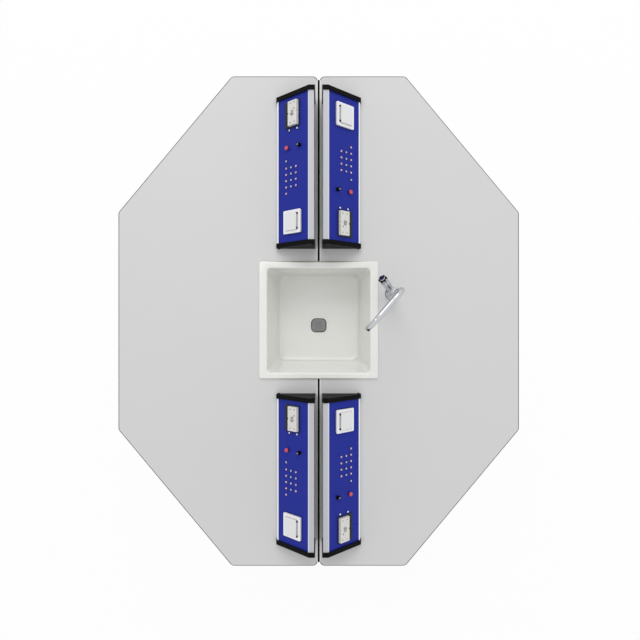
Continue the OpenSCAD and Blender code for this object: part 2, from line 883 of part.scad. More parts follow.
// One of the two ears that carry the lid's pin
module lid_lug() {
    difference() {
        union() {
            translate([-lug_r, -lug_w / 2, 0]) cube([2 * lug_r, lug_w, lug_h]);
            translate([0, lug_w / 2, lug_h]) rotate([90, 0, 0]) cylinder(r = lug_r, h = lug_w);
        }
        translate([0, lug_w, lug_h]) rotate([90, 0, 0]) cylinder(r = lid_pin_r + running, h = 2 * lug_w);
    }
}

module lid(c) {
    n = panel_z + plate_h + lug_h;
    color("white") at_console(c) on_slope() translate([lid_s, plate_y, n]) {
        translate([lid_from, -lid_w / 2, -lid_barrel_r]) cube([lid_l - lid_from, lid_w, lid_t]);
        translate([0, -lug_from + clear, -lid_barrel_r]) cube([lid_neck, 2 * (lug_from - clear), lid_t]);
        translate([0, lug_from - clear, 0]) rotate([90, 0, 0])
            cylinder(r = lid_barrel_r, h = 2 * (lug_from - clear));
        translate([0, lug_from + lug_w, 0]) rotate([90, 0, 0])
            cylinder(r = lid_pin_r, h = 2 * (lug_from + lug_w));
    }
}

module breaker(c) {
    top = panel_z + breaker_h;
    apron = breaker_w + bezel_side + bezel_apron;
    frame_l = breaker_l + 2 * bezel_side;
    color("gainsboro") at_console(c) on_slope() {
        difference() {
            translate([breaker_s, breaker_y, panel_z - breaker_depth])
                block(breaker_w, breaker_l, breaker_depth + breaker_h);
            translate([breaker_s, breaker_y, lever_n]) rotate([0, 90, 0])
                cylinder(r = lever_r + clear, h = lever_w + 2 * clear, center = true);
            translate([breaker_s, breaker_y, lever_n + 1])
                block(lever_w + 2 * clear, lever_slot, breaker_h);
            for (side = [-1, 1])
                translate([breaker_s + side * breaker_w / 2, breaker_y, panel_z + bezel_t + 1])
                    cylinder(r = notch_r, h = breaker_h);
            translate([breaker_s - module_gap / 2, breaker_y - breaker_l / 2 - 1, top - module_groove])
                cube([module_gap, breaker_l + 2, module_groove + 1]);
            for (side = [-1, 1], end = [-1, 1])
                translate([breaker_s + side * breaker_w / 4,
                           breaker_y + end * (breaker_l / 2 - terminal_in), top - terminal_depth])
                    cylinder(r = terminal_r, h = terminal_depth + 1);
        }
        difference() {
            translate([breaker_s - breaker_w / 2 - bezel_side, breaker_y - frame_l / 2, panel_z])
                cube([apron, frame_l, bezel_t]);
            translate([breaker_s, breaker_y, panel_z - 1])
                block(breaker_w + 2 * clear, breaker_l + 2 * clear, top);
        }
    }
}

module lever(c) {
    color("lightgray") at_console(c) on_slope() translate([breaker_s, breaker_y, lever_n]) {
        rotate([0, 90, 0]) cylinder(r = lever_r, h = lever_w, center = true);
        rotate([-lever_lean, 0, 0]) translate([-lever_w / 2, -lever_t / 2, 0])
            cube([lever_w, lever_t, lever_sink + lever_out]);
    }
}

module button(c) {
    color("crimson") at_console(c) on_slope() translate([button_s, button_y, panel_z]) {
        translate([0, 0, collar_h + button_travel + clear]) cylinder(r = button_r, h = button_t);
        translate([0, 0, -push_l]) cylinder(r = push_r, h = push_l + collar_h + button_travel + 1);
    }
}

module knob(c) {
    color("black") at_console(c) on_slope() translate([knob_s, knob_y, panel_z]) {
        difference() {
            translate([0, 0, collar_h + clear]) cylinder(r = knob_r, h = knob_h);
            translate([0, 0, collar_h + clear + knob_h - knob_cap_t])
                cylinder(r = knob_cap_r, h = knob_cap_t + 1);
            translate([knob_cap_r + 1, -knob_mark_w / 2, collar_h + knob_h - 2 * knob_cap_t])
                cube([knob_r, knob_mark_w, knob_h]);
        }
        translate([0, 0, -shaft_l]) cylinder(r = shaft_r, h = shaft_l + collar_h + 1);
    }
}

module console_end_caps() {
    for (c = CONSOLES, side = [-1, 1])
        color([0.08, 0.08, 0.09]) at_console(c)
            mirror([0, side > 0 ? 0 : 1, 0]) translate([0, console_l / 2, 0]) difference() {
                translate([0, cap_t / 2, 0]) along(cap_t) polygon(section(cap_lip));
                translate([0, (cap_t - cap_plate) / 2 - 1, 0])
                    along(cap_t - cap_plate + 2) union() {
                        polygon(section(cap_play));
                        translate([console_back - cap_play, -1]) square([console_d + 2 * cap_play, 2]);
                    }
                translate([0, cap_t / 2, 0])
                    along(cap_t + 2) for (p = channels()) translate(p) circle(r = screw_r + 0.2);
            }
}

module cap_screws() {
    color("silver") for (c = CONSOLES, side = [-1, 1], p = channels())
        at_console(c) mirror([0, side > 0 ? 0 : 1, 0])
            translate([p.x, console_l / 2 + cap_t, p.y]) rotate([90, 0, 0]) {
                translate([0, 0, -screw_head_h]) cylinder(r = screw_head_r, h = screw_head_h);
                cylinder(r = screw_r - 0.05, h = screw_l);
            }
}

module console_collars() {
    color("black") for (c = CONSOLES)
        at_console(c) on_slope() {
            translate([button_s, button_y, 0]) collar(push_r);
            translate([knob_s, knob_y, 0]) collar(shaft_r);
        }
}

// A ring on the panel, with a sleeve through it, that guides a button or a knob
module collar(bore) {
    difference() {
        union() {
            translate([0, 0, panel_z]) cylinder(r = collar_r, h = collar_h);
            translate([0, 0, panel_z - panel_t - sleeve_l])
                cylinder(r = bore + sleeve_wall, h = panel_t + sleeve_l + 1);
        }
        translate([0, 0, panel_z - panel_t - sleeve_l - 1])
            cylinder(r = bore + running, h = panel_t + sleeve_l + collar_h + 2);
    }
}

module console_jacks() {
    color("white") for (c = CONSOLES, p = JACKS)
        at_console(c) on_slope() translate([p.x, p.y, panel_z]) difference() {
            union() {
                cylinder(r = jack_r, h = jack_h);
                cylinder(r = jack_contact_r, h = jack_contact_h);
                translate([0, 0, -jack_body_l]) cylinder(r = jack_body_r, h = jack_body_l + 1);
            }
            translate([0, 0, 3 - jack_body_l]) cylinder(r = jack_bore_r, h = jack_body_l);
        }
}

module console_supplies() {
    color("darkgray") for (c = CONSOLES)
        at_console(c) translate([console_back + housing_wall + 2 + supply_w / 2, 10, housing_wall])
            block(supply_w, supply_l, supply_h);
}

module cable_glands() {
    color("dimgray") for (c = CONSOLES)
        at_console(c) translate([gland_x, gland_y, 0]) {
            translate([0, 0, -top_t - gland_nut_h])
                cylinder(r = gland_r, h = top_t + 2 * gland_nut_h + housing_wall);
            for (z = [housing_wall, -top_t - gland_nut_h])
                translate([0, 0, z]) cylinder(r = gland_nut_r, h = gland_nut_h, $fn = 6);
        }
}

// The pieces by name

half_top(-1);  // worktop_left
half_top(1);  // worktop_right
sink();
sink_strainer();
waste_outlet();
bottle_trap();
waste_pipe();
tap_pillar();
tap_spout();
tap_handle();
tap_supply();
top_frame();
legs();
leg_inserts();
cabinet_panels();
cabinet_hinges();
cabinet_door();
door_handle();
console_end_caps();
console_collars();
console_jacks();
console_supplies();
cable_glands();
cap_screws();
for (c = CONSOLES) {
    foot(c);
    housing(c);
    panel(c);
    socket(c);
    lid(c);
    breaker(c);
    lever(c);
    button(c);
    knob(c);
}
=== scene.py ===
"""Looks of the octagonal laboratory table: finishes, turned and lofted pieces, and a plain studio.

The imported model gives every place. Shapes are drawn in millimetres and scaled as they go into a piece.
"""

from __future__ import annotations

import json
import logging
import math
from collections.abc import Callable, Sequence
from dataclasses import dataclass, replace
from enum import Enum
from typing import NamedTuple

import bmesh
import bpy
from bmesh.types import BMEdge, BMesh, BMVert
from bpy.types import Material, Node, NodeSocket, NodeTree, Object
from mathutils import Matrix, Vector

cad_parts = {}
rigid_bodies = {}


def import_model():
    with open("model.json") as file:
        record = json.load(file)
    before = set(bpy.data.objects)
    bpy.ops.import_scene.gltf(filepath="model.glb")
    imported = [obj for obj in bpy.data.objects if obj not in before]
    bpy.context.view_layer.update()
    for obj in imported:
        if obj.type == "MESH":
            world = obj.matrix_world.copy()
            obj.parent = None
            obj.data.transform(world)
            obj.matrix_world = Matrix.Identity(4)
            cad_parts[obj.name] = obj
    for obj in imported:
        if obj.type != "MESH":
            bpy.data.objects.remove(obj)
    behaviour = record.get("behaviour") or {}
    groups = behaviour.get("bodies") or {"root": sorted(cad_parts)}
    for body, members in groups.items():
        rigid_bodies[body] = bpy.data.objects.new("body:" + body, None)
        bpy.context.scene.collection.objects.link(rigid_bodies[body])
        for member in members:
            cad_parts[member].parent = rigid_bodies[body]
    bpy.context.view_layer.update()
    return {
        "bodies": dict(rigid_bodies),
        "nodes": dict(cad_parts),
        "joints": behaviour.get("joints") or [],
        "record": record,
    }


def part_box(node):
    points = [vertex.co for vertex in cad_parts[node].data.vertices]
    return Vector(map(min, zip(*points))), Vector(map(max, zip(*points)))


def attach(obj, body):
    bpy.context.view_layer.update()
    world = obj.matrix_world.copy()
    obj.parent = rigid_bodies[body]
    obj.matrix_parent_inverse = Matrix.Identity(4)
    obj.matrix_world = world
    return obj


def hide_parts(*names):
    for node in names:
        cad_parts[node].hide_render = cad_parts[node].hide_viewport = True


LOG = logging.getLogger("laboratory_table")
HERE = Matrix.Identity(4)
CORNERS = ("ne", "nw", "se", "sw")
# A millimetre in metres.
MM = 0.001
# In millimetres: how far an outline is lifted while it is bridged, and how near points merge.
APART = 1000.0
SAME_POINT = 1e-4
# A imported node's mesh: how near its points are welded, in metres, and the angles, in degrees, under
# which its triangles lie in one face and past which its edges are rounded.
WELD = 2e-6
FLAT = 0.4
BENT = 34.0


def linear(colour: str) -> tuple[float, float, float, float]:
    """Turns an sRGB hex colour into the linear numbers that a shader takes.

    Args:
        colour: Six hex digits, such as "d6d6d6".

    Returns:
        Linear red, green, blue and an alpha of 1.
    """
    parts = [int(colour[i : i + 2], 16) / 255 for i in (0, 2, 4)]
    red, green, blue = ((p / 12.92) if p <= 0.04045 else ((p + 0.055) / 1.055) ** 2.4 for p in parts)
    return red, green, blue, 1.0


def add_node(tree: NodeTree, kind: str, inputs: dict | None = None, **settings) -> Node:
    """Adds a node with its settings, its values and its links.

    Args:
        tree: The node tree that takes the node.
        kind: Blender's type name of the node.
        inputs: A value or an output socket for each input, by name or number.
        settings: Properties of the node itself.

    Returns:
        The new node.
    """
    node = tree.nodes.new(kind)
    for name, value in settings.items():
        setattr(node, name, value)
    for name, value in (inputs or {}).items():
        if isinstance(value, NodeSocket):
            tree.links.new(value, node.inputs[name])
        else:
            node.inputs[name].default_value = value
    return node


def new_object(name: str, data: bpy.types.ID) -> Object:
    """Puts a new object into the scene.

    Args:
        name: Its name.
        data: Its mesh, lamp or camera.

    Returns:
        The object.
    """
    made = bpy.data.objects.new(name, data)
    bpy.context.scene.collection.objects.link(made)
    return made


# Finishes


class Texture(Enum):
    """The kinds of unevenness that a surface can have."""

    CLOUDS = "ShaderNodeTexNoise"
    CELLS = "ShaderNodeTexVoronoi"


@dataclass(frozen=True)
class Pattern:
    """One layer of unevenness in a surface.

    size_mm is the width of one spot, and stretch says how many times longer it runs along X, Y and Z.
    low and high are the texture's values between which the layer fades in.
    """

    size_mm: float
    stretch: tuple[float, float, float] = (1.0, 1.0, 1.0)
    tint: float = 0.0
    other: str = "000000"
    gloss: float = 0.0
    relief_mm: float = 0.0
    low: float = 0.3
    high: float = 0.7
    detail: float = 2.0
    texture: Texture = Texture.CLOUDS

    def share(self, tree: NodeTree, coords: NodeSocket) -> NodeSocket:
        """Adds the texture's nodes.

        Args:
            tree: The material's node tree.
            coords: Object coordinates, in metres.

        Returns:
            A socket from 0 to 1 that says how strongly the layer shows.
        """
        scale = [1 / (self.size_mm * MM * along) for along in self.stretch]
        place = add_node(tree, "ShaderNodeMapping", {"Vector": coords, "Scale": scale})
        inputs = {"Vector": place.outputs[0], "Scale": 1.0}
        if self.texture is Texture.CLOUDS:
            inputs["Detail"] = self.detail
        drawn = add_node(tree, self.texture.value, inputs).outputs[0]
        faded = {"Value": drawn, "From Min": self.low, "From Max": self.high}
        return add_node(tree, "ShaderNodeMapRange", faded).outputs[0]


@dataclass(frozen=True)
class Finish:
    """A surface as its maker would name it, with the values of its real material."""

    name: str
    colour: str
    roughness: float
    metallic: float = 0.0
    ior: float = 1.5
    coat: float = 0.0
    coat_roughness: float = 0.05
    patterns: tuple[Pattern, ...] = ()

    def material(self) -> Material:
        """Builds the finish's material once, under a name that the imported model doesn't use.

        Returns:
            The material, new or as built before.
        """
        name = f"finish_{self.name}"
        if name in bpy.data.materials:
            return bpy.data.materials[name]
        made = bpy.data.materials.new(name)
        made.use_nodes = True
        tree = made.node_tree
        shader = tree.nodes["Principled BSDF"]
        values = {
            "Base Color": linear(self.colour), "Roughness": self.roughness, "Metallic": self.metallic,
            "Coat Weight": self.coat, "Coat Roughness": self.coat_roughness,
        }
        if not self.metallic:
            values["IOR"] = self.ior
        for socket, value in values.items():
            shader.inputs[socket].default_value = value
        coords = add_node(tree, "ShaderNodeTexCoord").outputs["Object"]
        for pattern in self.patterns:
            self._lay(tree, shader, pattern, pattern.share(tree, coords))
        return made

    @staticmethod
    def _lay(tree: NodeTree, shader: Node, pattern: Pattern, share: NodeSocket) -> None:
        """Lays one pattern over what the shader has so far.

        Args:
            tree: The material's node tree.
            shader: Its Principled BSDF.
            pattern: The pattern to lay.
            share: How strongly it shows, from 0 to 1.
        """
        laid, before = {}, {}
        for name in ("Base Color", "Roughness", "Normal"):
            socket = shader.inputs[name]
            before[name] = socket.links[0].from_socket if socket.is_linked else socket.default_value
        if pattern.tint:
            inputs = {0: share, 1: pattern.tint}
            strength = add_node(tree, "ShaderNodeMath", inputs, operation="MULTIPLY").outputs[0]
            inputs = {0: strength, 6: before["Base Color"], 7: linear(pattern.other)}
            laid["Base Color"] = add_node(tree, "ShaderNodeMix", inputs, data_type="RGBA").outputs[2]
        if pattern.gloss:
            inputs = {0: share, 1: pattern.gloss, 2: before["Roughness"]}
            rougher = add_node(tree, "ShaderNodeMath", inputs, operation="MULTIPLY_ADD", use_clamp=True)
            laid["Roughness"] = rougher.outputs[0]
        if pattern.relief_mm:
            inputs = {"Height": share, "Strength": 1.0, "Distance": pattern.relief_mm * MM}
            if shader.inputs["Normal"].is_linked:
                inputs["Normal"] = before["Normal"]
            laid["Normal"] = add_node(tree, "ShaderNodeBump", inputs).outputs[0]
        for name, socket in laid.items():
            tree.links.new(socket, shader.inputs[name])


def die_lines(tint: float, other: str, gloss: float = 0.0, relief_mm: float = 0.0) -> Pattern:
    """Gives the lines that an extruding die leaves, 0.4 mm apart and drawn at 1.4 mm so that they show."""
    return Pattern(1.4, (1.0, 400.0, 1.0), tint, other, gloss, relief_mm, detail=1.0)


# High-pressure compact laminate, pressed against a fine matt plate: a dull, even, cool light grey.
# The plate's grain of 0.3 mm is drawn at 2 mm so that it shows.
LAMINATE = Finish("compact_laminate", "d3d3d3", 0.52, patterns=(
    Pattern(260.0, tint=0.08, other="c8c8c9", detail=3.0),
    Pattern(2.0, tint=0.05, other="f2f2f2", gloss=0.08, relief_mm=0.03),
))
# The laminate's core of kraft paper and phenolic resin, sawn and chamfered: a dull near-black.
CORE = Finish("phenolic_core", "0c0b0b", 0.7, ior=1.2, patterns=(
    Pattern(1.2, (30.0, 30.0, 1.0), tint=0.35, other="231f1d", relief_mm=0.04),
))
# Fireclay under a white glaze: deep gloss over a warm off-white that pools a little greener.
GLAZE = Finish("stoneware_glaze", "ededea", 0.16, ior=1.52, coat=0.35, coat_roughness=0.04, patterns=(
    Pattern(140.0, tint=0.25, other="e2e4dc", relief_mm=0.5),
    Pattern(9.0, tint=0.06, other="cfcfc3", gloss=0.06, relief_mm=0.03),
))
# Neutral-cure silicone, smoothed with a finger: a soft translucent white.
SILICONE = Finish("silicone_bead", "cfcfca", 0.35, ior=1.41, patterns=(Pattern(6.0, relief_mm=0.1),))
# The same sealant painted brighter than it is, as a painted highlight drawn thin along both sides of the seam
# and round the strainer.
HIGHLIGHT_SEALANT = Finish("sealant_painted_highlight", "f4f4f3", 0.35, ior=1.41, patterns=(
    Pattern(5.0, tint=0.15, other="e2e2e0", relief_mm=0.05),
))
# Stainless sheet, punched and drawn: mid grey with fine scratches round the water's path.
STRAINER = Finish("stainless_sheet", "a6a8a7", 0.34, metallic=1.0, patterns=(
    Pattern(0.8, (14.0, 1.0, 1.0), tint=0.25, other="5e6060", gloss=0.18, relief_mm=0.02),
))
# Bright chrome over nickel: a near mirror, clouded a little by dried drops.
CHROME = Finish("chrome_plate", "c3c5c8", 0.06, metallic=1.0, patterns=(
    Pattern(16.0, gloss=0.08, low=0.45, high=0.75),
    Pattern(5.0, gloss=0.10, low=0.0, high=0.12, texture=Texture.CELLS),
))
# Moulded ABS of the valve's grip: deep, glossy black-blue.
GRIP = Finish("abs_grip", "06060c", 0.22, ior=1.3, patterns=(Pattern(3.0, gloss=0.10, relief_mm=0.02),))
# The grip's snap-in marker disc, moulded in navy acetal: smooth and half glossy.
MARKER = Finish("acetal_marker", "15103f", 0.28, ior=1.3, patterns=(Pattern(2.0, gloss=0.08),))
# Moulded EPDM rubber of seals, soles and gaskets: black, dull, faintly bloomed.
RUBBER = Finish("epdm_rubber", "050505", 0.8, ior=1.15, patterns=(
    Pattern(8.0, tint=0.25, other="141414", relief_mm=0.03),
))
# Natural anodised extrusion: satin light grey with the die's lines along its length.
ALUMINIUM = Finish("anodised_aluminium", "bebfc3", 0.5, metallic=0.15, patterns=(
    die_lines(0.16, "9c9da4", gloss=0.10, relief_mm=0.02),
    Pattern(90.0, tint=0.10, other="acadb3"),
))
# The same anodised metal painted pale and slightly blue on the lip below the panel, as a painted highlight.
LIP = Finish("anodised_lower_lip_painted_highlight", "f2f5ff", 0.35, metallic=0.1, patterns=(die_lines(0.10, "dde2f6"),))
# The same anodised metal on the lip above the panel, with a weaker painted highlight half way between the
# two.
UPPER_LIP = Finish("anodised_upper_lip_painted_highlight", "d6dce8", 0.35, metallic=0.1, patterns=(die_lines(0.10, "c8cedc"),))
# Polyester powder coat in ultramarine, cured smooth: even, half matt, with a slight orange peel.
BLUE_COAT = Finish("powder_coat_blue", "243096", 0.42, ior=1.2, patterns=(
    Pattern(2.4, gloss=0.08, relief_mm=0.05),
    Pattern(120.0, tint=0.12, other="1f2988"),
))
# Epoxy powder coat on the steel frame: light grey, half matt, with a fuller orange peel.
FRAME_COAT = Finish("powder_coat_grey", "c3c5c7", 0.45, patterns=(
    Pattern(3.0, gloss=0.10, relief_mm=0.08),
    Pattern(200.0, tint=0.15, other="b4b6b9"),
))
# Glass-filled nylon with a spark-eroded grain: black and dull.
NYLON = Finish("glass_filled_nylon", "070708", 0.62, ior=1.16, patterns=(
    Pattern(1.1, gloss=-0.12, relief_mm=0.04, low=0.0, high=0.6, texture=Texture.CELLS),
    Pattern(30.0, tint=0.3, other="101012"),
))
# Moulded polycarbonate of plates and lids: a clean white with a soft gloss.
POLYCARBONATE = Finish("polycarbonate_white", "f2f2f5", 0.24, ior=1.58, patterns=(
    Pattern(12.0, tint=0.08, other="dcdce2", gloss=0.06, relief_mm=0.03),
))
# The lid is moulded apart from the plate, and a shade greyer.
LID_WHITE = Finish("polycarbonate_lid", "e7e8e9", 0.30, ior=1.58, patterns=(
    Pattern(10.0, tint=0.10, other="cfcfd2", gloss=0.08, relief_mm=0.03),
))
# Moulded polyamide of the breaker: a pale grey, dull, with flow marks.
POLYAMIDE = Finish("polyamide_grey", "e0dfdc", 0.48, patterns=(
    Pattern(5.0, (1.0, 3.0, 1.0), tint=0.14, other="bdbab3", relief_mm=0.04),
))
# The same polyamide in charcoal, for the frame round the breaker.
CHARCOAL = Finish("polyamide_charcoal", "262b2c", 0.55, ior=1.3, patterns=(
    Pattern(4.0, tint=0.3, other="32383a", relief_mm=0.04),
))
# Moulded polyamide of the lever: a middle grey that thumbs have polished.
LEVER_GREY = Finish("polyamide_lever", "a7a6a2", 0.38, patterns=(Pattern(2.0, gloss=0.12),))
# Glossy moulded ABS of the push button: a soft red.
RED = Finish("abs_red", "c94c5e", 0.24, patterns=(Pattern(3.0, tint=0.12, other="b54052"),))
# Collars of the live jacks: a dark glossy red. Those of the return jacks: near black with a blue cast.
COLLAR_RED = Finish("collar_red", "6a1d55", 0.30, ior=1.3, patterns=(Pattern(2.0, gloss=0.1),))
COLLAR_NAVY = replace(COLLAR_RED, name="collar_navy", colour="0b0e38")
# Nickel-plated brass of the jacks' contacts: bright and cool.
NICKEL = Finish("nickel_plate", "dfe2fa", 0.30, metallic=0.5, patterns=(Pattern(1.0, gloss=0.1),))
# Opal lens of a signal lamp that is off: milky and glossy.
OPAL = Finish("opal_lens", "f0f1f7", 0.18, patterns=(Pattern(1.5, tint=0.1, other="d3d6e4"),))
# Zinc-plated and passivated steel: a cool grey with cloudy patches.
ZINC = Finish("zinc_plated_steel", "a9adb2", 0.32, metallic=1.0, patterns=(
    Pattern(6.0, tint=0.35, other="8b9096", gloss=0.12, low=0.1, high=0.8, texture=Texture.CELLS),
))
# Steel screws blackened in a hot salt bath and oiled: a soft black with a metal's gleam.
BLACK_OXIDE = Finish("black_oxide_steel", "1d1d1f", 0.38, metallic=1.0, patterns=(
    Pattern(1.5, tint=0.3, other="101011", gloss=0.12),
))
# Stainless bar, brushed along its length: satin, with fine lines drawn at 0.8 mm so that they show.
SATIN_STEEL = Finish("satin_steel", "b4b6b8", 0.28, metallic=1.0, patterns=(
    Pattern(0.8, (1.0, 1.0, 60.0), tint=0.2, other="8f9294", gloss=0.12),
))
# Chipboard faced with melamine paper: a clean white with a faint pearl grain along the board.
MELAMINE = Finish("melamine_board", "d9d9d8", 0.44, patterns=(
    Pattern(1.8, (1.0, 1.0, 8.0), tint=0.10, other="c8c8c6", relief_mm=0.03),
    Pattern(180.0, tint=0.10, other="cbcbc9"),
))
# ABS edging strip, milled flush and scraped: a shade darker than the board's face.
EDGING = Finish("abs_edging", "bfc1c2", 0.36, patterns=(Pattern(1.5, (1.0, 1.0, 20.0), gloss=0.15),))
# Polypropylene waste fittings: waxy white tube, and a mid-grey outlet.
PP_WHITE = Finish("polypropylene_white", "dededa", 0.40, ior=1.49, patterns=(
    Pattern(25.0, tint=0.15, other="cccbc3", gloss=0.1, relief_mm=0.1),
))
PP_GREY = Finish("polypropylene_grey", "4d4f52", 0.45, ior=1.49, patterns=(
    Pattern(10.0, tint=0.2, other="3b3d40", relief_mm=0.05),
))
# Drawn copper tube after a few years: brown-red with darker clouds.
COPPER = Finish("drawn_copper", "b8775a", 0.34, metallic=1.0, patterns=(
    Pattern(22.0, tint=0.55, other="7a4a38", gloss=0.2, detail=4.0),
))
# Cast brass of the socket's contacts: yellow and dull.
BRASS = Finish("cast_brass", "c9a65a", 0.36, metallic=1.0, patterns=(Pattern(2.0, gloss=0.15),))


# Shapes, in millimetres


def turn(degrees: float, axis: str) -> Matrix:
    """Gives a turn about X, Y or Z."""
    return Matrix.Rotation(math.radians(degrees), 4, axis)


def axes(along: Vector, out: Vector) -> Matrix:
    """Gives the turn that leads Y along and Z out, two directions at right angles."""
    return Matrix((along.cross(out), along, out)).transposed().to_4x4()


@dataclass(frozen=True)
class Ring:
    """A closed level outline of a lofted shape.

    It is a rectangle with rounded corners, or, with no corner, a circle of that width. lobes and
    lobe_depth swell a circle into a scalloped one. steps is the number of edges round a corner, or
    round an eighth of a circle, and cuts says how often each straight side is cut.
    """

    width: float
    z: float
    length: float = 0.0
    corner: float = 0.0
    x: float = 0.0
    y: float = 0.0
    lobes: int = 0
    lobe_depth: float = 0.0
    steps: int = 8
    cuts: int = 0

    def draw(self, bm: BMesh) -> list[BMEdge]:
        """Draws the outline.

        Args:
            bm: The mesh that takes it.

        Returns:
            The outline's edges.
        """
        known = set(bm.edges)
        if self.corner:
            self._rectangle(bm)
        else:
            made = bmesh.ops.create_circle(bm, radius=self.width / 2, segments=self.steps * 8)
            for vert in made["verts"]:
                angle = math.atan2(vert.co.y, vert.co.x)
                vert.co *= 1 + self.lobe_depth / self.width * (math.cos(self.lobes * angle) - 1)
        edges = [edge for edge in bm.edges if edge not in known]
        bmesh.ops.translate(bm, verts=ends(edges), vec=(self.x, self.y, self.z))
        return edges

    def _rectangle(self, bm: BMesh) -> None:
        """Draws the rectangle with rounded corners, its sides cut into equal steps.

        Args:
            bm: The mesh that takes it.
        """
        known = set(bm.edges)
        corners = [
            bm.verts.new((x * self.width / 2, y * (self.length or self.width) / 2, 0))
            for x, y in ((-1, -1), (1, -1), (1, 1), (-1, 1))
        ]
        for corner, after in zip(corners, corners[1:] + corners[:1]):
            bm.edges.new((corner, after))
        bmesh.ops.bevel(
            bm, geom=corners, offset=self.corner, offset_type="OFFSET", affect="VERTICES",
            segments=self.steps, profile=0.5, material=-1,
        )
        if self.cuts:
            made = sorted((edge for edge in bm.edges if edge not in known), key=lambda e: e.calc_length())
            bmesh.ops.subdivide_edges(bm, edges=made[-4:], cuts=self.cuts)


def ends(edges: Sequence[BMEdge]) -> list[BMVert]:
    """Lists the points of some edges."""
    return list({vert for edge in edges for vert in edge.verts})


def lofted(levels: Sequence[Ring], closed: bool = True) -> BMesh:
    """Bridges one outline to the next, which is lifted meanwhile, so that no bridge is twisted.

    Args:
        levels: The outlines in order, all with as many points.
        closed: Whether the last one joins the first; otherwise both ends are capped.

    Returns:
        The shape.
    """
    bm = bmesh.new()
    loops = [level.draw(bm) for level in levels]
    pairs = list(zip(loops, loops[1:]))
    if closed:
        pairs.append((loops[-1], loops[0]))
    for lower, upper in pairs:
        verts = ends(upper)
        bmesh.ops.translate(bm, verts=verts, vec=(0, 0, APART))
        bmesh.ops.bridge_loops(bm, edges=lower + upper)
        bmesh.ops.translate(bm, verts=verts, vec=(0, 0, -APART))
    if not closed:
        for loop in (loops[0], loops[-1]):
            bmesh.ops.edgeloop_fill(bm, edges=loop)
    return bm


def turned(profile: Sequence[tuple[float, float]], segments: int = 24) -> BMesh:
    """Turns a profile round the Z axis.

    Args:
        profile: Radius and height of each point. A ring's profile ends where it starts.
        segments: Steps of the full turn.

    Returns:
        The shape.
    """
    bm = bmesh.new()
    verts = [bm.verts.new((radius, 0, z)) for radius, z in profile]
    edges = [bm.edges.new(pair) for pair in zip(verts, verts[1:])]
    bmesh.ops.spin(
        bm, geom=[*verts, *edges], cent=(0, 0, 0), axis=(0, 0, 1), dvec=(0, 0, 0),
        angle=math.tau, steps=segments, use_merge=True, use_duplicate=False,
    )
    bmesh.ops.remove_doubles(bm, verts=bm.verts, dist=SAME_POINT)
    return bm


def washer(size: Sequence[float], z: float, segments: int = 24) -> BMesh:
    """Turns a flat ring with chamfers.

    Args:
        size: Its inner and outer radius, its thickness and the width of its chamfers.
        z: Height of its foot.
        segments: Steps of the full turn.

    Returns:
        The shape.
    """
    inner, outer, height, edge = size
    top = z + height
    profile = [
        (inner, z), (outer - edge, z), (outer, z + edge), (outer, top - edge), (outer - edge, top),
        (inner + edge, top), (inner, top - edge), (inner, z),
    ]
    return turned(profile, segments)


def stud(size: Sequence[float], z: float, segments: int = 24) -> BMesh:
    """Turns a disc or pin with rounded rims.

    Args:
        size: Its radius, its height and the radius of its rims.
        z: Height of its foot.
        segments: Steps of the full turn.

    Returns:
        The shape.
    """
    radius, height, edge = size
    top, soft = z + height, edge * 0.3
    profile = [
        (0, z), (radius - edge, z), (radius - soft, z + soft), (radius, z + edge),
        (radius, top - edge), (radius - soft, top - soft), (radius - edge, top), (0, top),
    ]
    return turned(profile, segments)


def block(size: Sequence[float], centre: Sequence[float], edge: float, steps: int = 2) -> BMesh:
    """Makes a box with rounded edges.

    Args:
        size: Its width, length and height.
        centre: Its middle.
        edge: Radius of the edges.
        steps: Faces across each edge.

    Returns:
        The shape.
    """
    bm = bmesh.new()
    bmesh.ops.create_cube(bm, size=1, matrix=Matrix.Translation(centre) @ Matrix.Diagonal((*size, 1)))
    bmesh.ops.bevel(
        bm, geom=bm.edges[:], offset=edge, offset_type="OFFSET", affect="EDGES",
        segments=steps, profile=0.5, material=-1,
    )
    return bm


